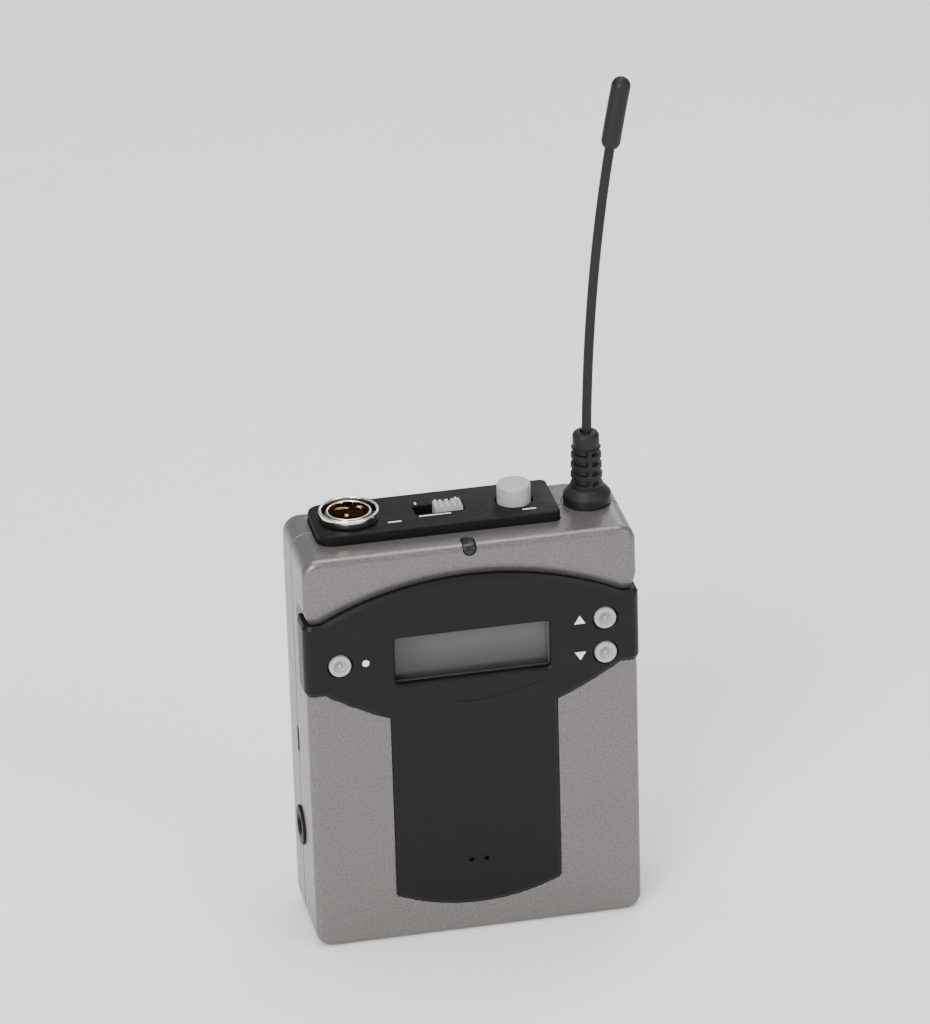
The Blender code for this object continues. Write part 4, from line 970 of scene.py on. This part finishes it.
def bootPiece():
    # radius by height and turn: flange, then a taper whose grooves stop at a web in front and one behind
    base = bootLow.z
    edge, collarEdge = bootRadius, boot["collarEdge"]
    flange = np.array([(-boot["seat"] / mm, edge), (1.3, edge), (1.6, edge - 0.08 * mm),
                       (1.85, edge - 0.3 * mm), (2.6, edge - 0.95 * mm), (2.9, edge - 1.15 * mm),
                       (3.0, boot["neckLow"] + 0.05 * mm)])
    neck = np.linspace(0, 1, 121)
    collarBase = boot["flangeHeight"] + boot["neckHeight"]
    collarTop = bootHigh.z - base
    collar = [(collarBase + 0.05 * mm, boot["collarRadius"]), (collarTop - collarEdge, boot["collarRadius"])]
    collar += [(collarTop - collarEdge * (1 - math.sin(a)),
                boot["collarRadius"] - collarEdge * (1 - math.cos(a)))
               for a in np.linspace(0.2, math.pi / 2, 8)]
    turn = np.linspace(0, 2 * np.pi, 96, endpoint=False)
    rows = [(z * mm, np.full(96, radius)) for z, radius in flange]
    for share in neck:
        number = min(int(share * boot["grooves"]), boot["grooves"] - 1)
        inGroove = share * boot["grooves"] - number
        depth = eased((inGroove - 0.38) / 0.1) * eased((0.97 - inGroove) / 0.08)
        phase = turn - math.radians(boot["webTurn"])
        web = eased((np.abs(np.cos(phase)) - math.cos(math.pi * boot["webShare"] / 2)) / 0.04)
        radius = boot["neckLow"] + (boot["neckHigh"] - boot["neckLow"]) * share
        rows.append((boot["flangeHeight"] + boot["neckHeight"] * share,
                     radius - boot["grooveDepth"] * depth * (1 - web)))
    rows += [(z, np.full(96, radius)) for z, radius in collar]
    rows += [(collarTop, np.full(96, boot["bore"])), (-boot["seat"], np.full(96, boot["bore"]))]
    rings = np.array([np.stack([bootAt.x + radius * np.cos(turn), bootAt.y + radius * np.sin(turn),
                                np.full(96, base + z)], -1) for z, radius in rows])
    return ringLoft("antennaBoot", rings, closed=True, sharpAngle=40)


place(bootPiece(), "root", ["antenna_boot"], "rubber")

whip = {"radius": 0.95 * mm, "lean": 8.48 * mm, "leanPower": 2.2, "length": 87 * mm, "tipRadius": 1.85 * mm,
        "tipLength": 14.45 * mm}


def whipLine(height):
    # the whip leans towards +X by a power of its height over the case
    height = np.asarray(height, float)
    lean = whip["lean"] * (np.maximum(height, 0) / whip["length"]) ** whip["leanPower"]
    return np.stack([bootAt.x + lean, np.full_like(lean, bootAt.y), caseTop + height], -1)


tipLow = whip["length"] - whip["tipLength"] - 0.05 * mm
place(tube("antennaWhip", whipLine(np.linspace(0.8 * mm, tipLow + 3 * mm, 60)), whip["radius"], 24),
      "root", ["antenna_whip"], "rubber")
tipTurn = np.linspace(0, math.pi, 61)
tipAlong = whip["tipLength"] * (1 - np.cos(tipTurn)) / 2
fromEnd = np.minimum(np.minimum(tipAlong, whip["tipLength"] - tipAlong), whip["tipRadius"])
tipRadii = np.sqrt(np.maximum(whip["tipRadius"] ** 2 - (whip["tipRadius"] - fromEnd) ** 2, (0.1 * mm) ** 2))
place(tube("antennaTip", whipLine(tipLow + tipAlong), tipRadii, 32, 60),
      "root", ["antenna_tip"], "rubber")
print("antenna made")


# back: door, clip, screws, jack

doorLook = {"edge": 0.12 * mm, "grips": 5, "gripPitch": 1.6 * mm, "gripHalf": 6 * mm, "gripRadius": 0.55 * mm,
            "gripDepth": 0.35 * mm, "gripBelowTop": 8 * mm, "arrow": 2.4 * mm}


def triangle(x, z, size, up):
    tip = size if up else -size
    base = [(x - size, z - tip * 0.6), (x + size, z - tip * 0.6), (x, z + tip)]
    return base if up else base[::-1]


def doorPiece():
    # the upright section, with the case's lower edge rounding, is extruded across and its edges eased
    radius = case["edgeRadius"]
    turn = np.linspace(math.acos(1 - doorLow.z / radius) + 0.02, math.pi / 2, 9)
    foot = np.stack([backY - radius + radius * np.sin(turn), radius - radius * np.cos(turn)], -1)
    outline = np.concatenate([[(doorLow.y, foot[0, 1])], foot,
                              [(backY, doorHigh.z), (doorLow.y, doorHigh.z)]])
    edge = doorLook["edge"]
    door = stacked("batteryDoor", outline, [(doorLow.x, -edge), (doorLow.x + edge, 0),
                                            (doorHigh.x - edge, 0), (doorHigh.x, -edge)], "x")
    grips = []
    for number in range(doorLook["grips"]):
        z = doorHigh.z - doorLook["gripBelowTop"] - number * doorLook["gripPitch"]
        half = doorLook["gripHalf"]
        path = np.linspace((-half, 0, z), (half, 0, z), 9)
        path[:, 1] = backY + doorLook["gripRadius"] - doorLook["gripDepth"]
        grips.append(tube("grip", path, doorLook["gripRadius"], 24))
    return carve(door, grips)


place(doorPiece(), "battery_door", ["battery_door"], "paint")

clip = {"wire": 0.88 * mm, "legX": caseHalf - 4.5 * mm, "gap": 5.0 * mm, "pinch": 0.6 * mm,
        "bottomZ": 24 * mm, "tip": 7.1 * mm, "bendSteps": 24, "spacing": 0.6 * mm}


def clipPath():
    # straight runs whose corners are each cut back by a reach and rounded with a quadratic curve
    legX, low = clip["legX"], clip["bottomZ"]
    outY = backY + clip["gap"] + clip["wire"]
    pinchY = backY + clip["pinch"] + clip["wire"]
    half = [((legX - clip["tip"], pivotY, pivotZ), 0), ((legX, pivotY, pivotZ), 3.2 * mm),
            ((legX, outY, pivotZ - 10 * mm), 5.5 * mm), ((legX, outY, low + 22 * mm), 6.5 * mm),
            ((legX, pinchY, low + 9 * mm), 4.2 * mm), ((legX, pinchY + 2.2 * mm, low), 4.8 * mm)]
    corners = half + [((-x, y, z), reach) for (x, y, z), reach in half[::-1]]
    points = np.array([corner for corner, _ in corners])
    curve = [points[:1]]
    t = np.linspace(0, 1, clip["bendSteps"] + 1)[:, None]
    for before, corner, after, (_, reach) in zip(points, points[1:], points[2:], corners[1:]):
        enter = corner + (before - corner) * reach / np.linalg.norm(before - corner)
        leave = corner + (after - corner) * reach / np.linalg.norm(after - corner)
        curve.append(enter * (1 - t) ** 2 + 2 * corner * t * (1 - t) + leave * t ** 2)
    curve = np.concatenate(curve + [points[-1:]])
    # points evenly spaced along the line again
    length = np.concatenate([[0], np.cumsum(np.linalg.norm(np.diff(curve, axis=0), axis=1))])
    even = np.linspace(0, length[-1], int(length[-1] / clip["spacing"]))
    return np.stack([np.interp(even, length, curve[:, axis]) for axis in range(3)], -1)


clipLine = clipPath()
clipRadii = np.full(len(clipLine), clip["wire"])
clipRadii[[0, -1]] = clip["wire"] * 0.7     # the cut ends are rounded off
place(tube("beltClip", clipLine, clipRadii, 24, 45), "belt_clip", ["belt_clip"], "chrome")

screwLook = {"below": 0.15 * mm, "head": 2.0 * mm, "headHeight": 1.0 * mm, "shank": 1.0 * mm,
             "armHalf": 1.15 * mm, "armWidth": 0.28 * mm, "recess": 0.7 * mm}
for number, (low, high) in enumerate(screwBoxes, 1):
    at = (low + high) / 2
    topY = backY - screwLook["below"]
    headY, headRadius, shank = topY - screwLook["headHeight"], screwLook["head"], screwLook["shank"]
    head = [(0, topY), (1.4 * mm, topY - 0.04 * mm), (1.8 * mm, topY - 0.18 * mm),
            (headRadius, topY - 0.45 * mm), (headRadius, headY), (shank, headY), (shank, low.y), (0, low.y)]
    screw = turned(f"caseScrew{number}", head, (at.x, 0, at.z), "y", 40)
    arms = []
    armHalf, armWidth = screwLook["armHalf"], screwLook["armWidth"]
    armSteps = [(topY - screwLook["recess"], -0.12 * mm), (topY + 0.3 * mm, 0)]
    for dx, dz in ((armWidth, armHalf), (armHalf, armWidth)):
        outline = boxOutline(at.x - dx, at.x + dx, at.z - dz, at.z + dz)
        arms.append(stacked("recess", outline, armSteps, "y"))
    carve(screw, arms)
    place(screw, "root", [f"case_screw_{number}"], "zinc")

jackFace = jackLow.x
jack = {"edge": 0.3 * mm, "body": 3.3 * mm, "bore": 1.75 * mm, "boreDepth": 7 * mm}
rim, rimBack = (jackHigh.z - jackLow.z) / 2, -caseHalf - 0.05 * mm
jackProfile = [(0, jackHigh.x), (jack["body"], jackHigh.x), (jack["body"], rimBack), (rim, rimBack)]
jackProfile += quarterRound(rim, jackFace, jack["edge"], -1, 6)[::-1]
jackProfile += [(jack["bore"] + 0.5 * mm, jackFace), (jack["bore"], jackFace + 0.35 * mm),
                (jack["bore"], jackFace + jack["boreDepth"]), (0, jackFace + jack["boreDepth"])]
place(turned("chargingJack", jackProfile, (0, jackAt.y, jackAt.z), "x", 56),
      "root", ["charging_jack"], "topPlate")
print("back and side pieces made")


# plain printed marks

marks = {"thickness": 0.03 * mm, "bedded": 0.005 * mm, "size": 1.1 * mm, "dot": 0.7 * mm, "fromKey": 5 * mm}


def joinedMarks(name, outlines, level, axis, outward):
    # flat prisms of ink, lying on the surface and bedded into it a little
    low = level - outward * marks["bedded"]
    high = low + outward * marks["thickness"]
    work = bmesh.new()
    for outline in outlines:
        part = stacked("mark", np.array(outline, float), [(low, 0), (high, 0)], axis)
        work.from_mesh(part.data)
        bpy.data.objects.remove(part)
    mesh = bpy.data.meshes.new(name)
    work.to_mesh(mesh)
    work.free()
    tidyMesh(mesh, 35)
    return newObject(name, mesh)


def bar(x, y, length, width):
    return boxOutline(x - length / 2, x + length / 2, y - width / 2, y + width / 2)


setKey, upKey, downKey = (keyCentres[name] for name in ("key_set", "key_up", "key_down"))
dotTurn = np.linspace(0, 2 * np.pi, 20, endpoint=False)
dot = np.stack([setKey.x + marks["fromKey"] + marks["dot"] * np.cos(dotTurn),
                setKey.z + marks["dot"] * np.sin(dotTurn)], -1)
frontMarks = joinedMarks("frontMarks", [
    dot, triangle(upKey.x - marks["fromKey"], upKey.z, marks["size"], True),
    triangle(downKey.x - marks["fromKey"], downKey.z, marks["size"], False)], panelFace, "y", -1)
place(frontMarks, "root", [], "ink")
# a long bar before the slot, three rising ones behind it, and one each by the socket and the button
slotMiddle = (slotX[0] + slotX[1]) / 2
topMarks = joinedMarks("topMarks", [
    bar(slotMiddle - 1.2 * mm, slotY[0] - 0.9 * mm, 6.2 * mm, 0.35 * mm),
    bar(slotX[0] + 0.8 * mm, slotY[1] + 1.0 * mm, 0.35 * mm, 0.9 * mm),
    bar(slotMiddle, slotY[1] + 1.1 * mm, 0.35 * mm, 1.1 * mm),
    bar(slotX[1] - 0.8 * mm, slotY[1] + 1.2 * mm, 0.35 * mm, 1.3 * mm),
    bar(socketAt.x + 8.2 * mm, slotY[0] - 2.0 * mm, 2.6 * mm, 0.4 * mm),
    bar(buttonAt.x + 2.0 * mm, slotY[0] - 3.0 * mm, 2.6 * mm, 0.4 * mm)], topHigh.z, "z", 1)
place(topMarks, "root", [], "ink")
# an arrow on the door shows which way it slides
arrow = doorLook["arrow"]
arrowZ = doorHigh.z - doorLook["gripBelowTop"] - doorLook["grips"] * doorLook["gripPitch"] - arrow
doorMark = joinedMarks("doorMark", [triangle(0, arrowZ, arrow, False),
                                    bar(0, arrowZ + arrow * 1.1, arrow * 0.8, arrow)], backY, "y", 1)
place(doorMark, "battery_door", [], "blackInk")
print("marks made")


# battery cells: a shrunk jacket over a bright can with a nub at one end

cellLook = {"rim": 0.5 * mm, "openEnd": 1.1 * mm, "nubRadius": 2.75 * mm, "nubHeight": 1.3 * mm,
            "foil": 0.08 * mm}
for number, up in ((1, 1), (2, -1)):
    low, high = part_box(f"battery_{number}")
    at, cellRadius, length = (low + high) / 2, (high.x - low.x) / 2, high.z - low.z
    can = length - cellLook["nubHeight"]
    rim, foil, nub = cellLook["rim"], cellLook["foil"], cellLook["nubRadius"]
    inner, opening = cellRadius - foil, cellRadius - cellLook["openEnd"]
    foot = [(opening, 0), (cellRadius - rim * 0.5, 0), (cellRadius - rim * 0.1, rim * 0.3), (cellRadius, rim)]
    head = [(radius, can - z) for radius, z in foot[::-1]]
    jacketProfile = foot + head + [(opening, can - foil), (opening, foil)]
    canProfile = [(0, 0.1 * mm), (inner - 0.4 * mm, 0.1 * mm), (inner - 0.4 * mm, can - 0.1 * mm),
                  (nub + 0.3 * mm, can - 0.1 * mm), (nub, can + 0.2 * mm), (nub, length - 0.25 * mm),
                  (nub - 0.25 * mm, length), (0, length)]
    flatZ = low.z if up == 1 else high.z
    for name, profile, closed, slot, finish in (
            (f"cellJacket{number}", jacketProfile, True, "cell_jacket", "jacket"),
            (f"cellCan{number}", canProfile, False, "steel", "zinc")):
        stood = [(radius, flatZ + up * height) for radius, height in profile]
        cell = turned(name, stood, (at.x, at.y, 0), sides=72, closed=closed)
        place(cell, "root", [f"battery_{number}"] if finish == "jacket" else [], finish)
print("cells made")

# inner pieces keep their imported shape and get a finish

innerFinish = {
    "main_board": "board", "top_board": "board", "rf_shield": "zinc", "slide_switch_body": "topPlate",
    "mic_socket_nut": "zinc", "antenna_nut": "gilt", "antenna_stud": "gilt", "power_switch_body": "topPlate",
    "tact_switch_set": "topPlate", "tact_switch_up": "topPlate", "tact_switch_down": "topPlate",
    "battery_tray": "topPlate", "contact_spring_1": "zinc", "contact_spring_2": "zinc",
    "contact_plate_lower": "zinc", "contact_plate_upper": "zinc",
}
for number in range(1, 5):
    innerFinish[f"board_screw_{number}"] = "zinc"
for name, finish in innerFinish.items():
    nodes[name].data.materials.clear()
    nodes[name].data.materials.append(materials[finish])
print("inner pieces finished")


# studio

studio = {"azimuth": -11.0, "elevation": 26.0, "roll": -1.7, "distance": 1.2, "focal": 220}
boundsLow, boundsHigh = (Vector(corner) for corner in cadBounds)
middle = (boundsLow + boundsHigh) / 2
middle.y = 0
azimuth, elevation = math.radians(studio["azimuth"]), math.radians(studio["elevation"])
away = Vector((math.sin(azimuth) * math.cos(elevation), -math.cos(azimuth) * math.cos(elevation),
               math.sin(elevation)))
camera = newObject("camera", bpy.data.cameras.new("camera"))
camera.location = middle + away * studio["distance"]
camera.rotation_euler = (-away).to_track_quat("-Z", "Y").to_euler()
camera.rotation_euler.rotate_axis("Z", math.radians(studio["roll"]))
camera.data.lens = studio["focal"]
camera.data.sensor_fit = "AUTO"
camera.data.sensor_width = 36
camera.data.clip_start = 0.01
bpy.context.scene.camera = camera

floorMaterial = surface("paleStudioPaper", {"Specular IOR Level": 0.2}, ("#f2f2f1", "#f6f6f5"), 60.0,
                        (0.75, 0.85), 20.0, [(2.0, 0.02, 2.0)])


def paleFloor():
    # a flat disc, with its points closer together near the object
    radius = np.array([0, 0.25, 0.5, 1.0, 2.0, 4.0, 8.0])
    sides = 64
    around = np.linspace(0, 2 * np.pi, sides, endpoint=False)
    points = np.stack([radius[:, None] * np.cos(around), radius[:, None] * np.sin(around),
                       np.full((len(radius), sides), -0.02 * mm)], -1)
    floor = newPiece("floor", points.reshape(-1, 3), gridFaces(len(radius), sides).tolist())
    floor.data.materials.append(floorMaterial)
    return floor


paleFloor()

lampAim = Vector((0, 0, 0.07))
lamps = {
    # name: where it stands, size, watts, colour
    "keySoftbox": ((-0.55, -0.9, 0.75), 0.5, 14.0, (1.0, 0.99, 0.98)),
    "sideStrip": ((-0.75, -0.55, 0.3), 0.16, 1.6, (1.0, 1.0, 1.0)),
    "fillSoftbox": ((0.8, -1.0, 0.6), 0.8, 7.0, (0.98, 0.99, 1.0)),
    "topSoftbox": ((0.0, 0.1, 1.3), 1.0, 15.0, (1.0, 1.0, 1.0)),
    "backSoftbox": ((0.7, 1.2, 0.8), 0.8, 5.0, (1.0, 1.0, 1.0)),
}
for name, (at, size, power, colour) in lamps.items():
    light = bpy.data.lights.new(name, "AREA")
    light.shape, light.size, light.energy, light.color = "SQUARE", size, power, colour
    lamp = newObject(name, light)
    lamp.location = at
    lamp.visible_camera = False
    lamp.rotation_euler = (lampAim - Vector(at)).to_track_quat("-Z", "Y").to_euler()

world = bpy.data.worlds.new("studioAir")
world.use_nodes = True
world.node_tree.nodes["Background"].inputs["Color"].default_value = (0.95, 0.96, 1.0, 1.0)
world.node_tree.nodes["Background"].inputs["Strength"].default_value = 0.5
bpy.context.scene.world = world
print("studio set")
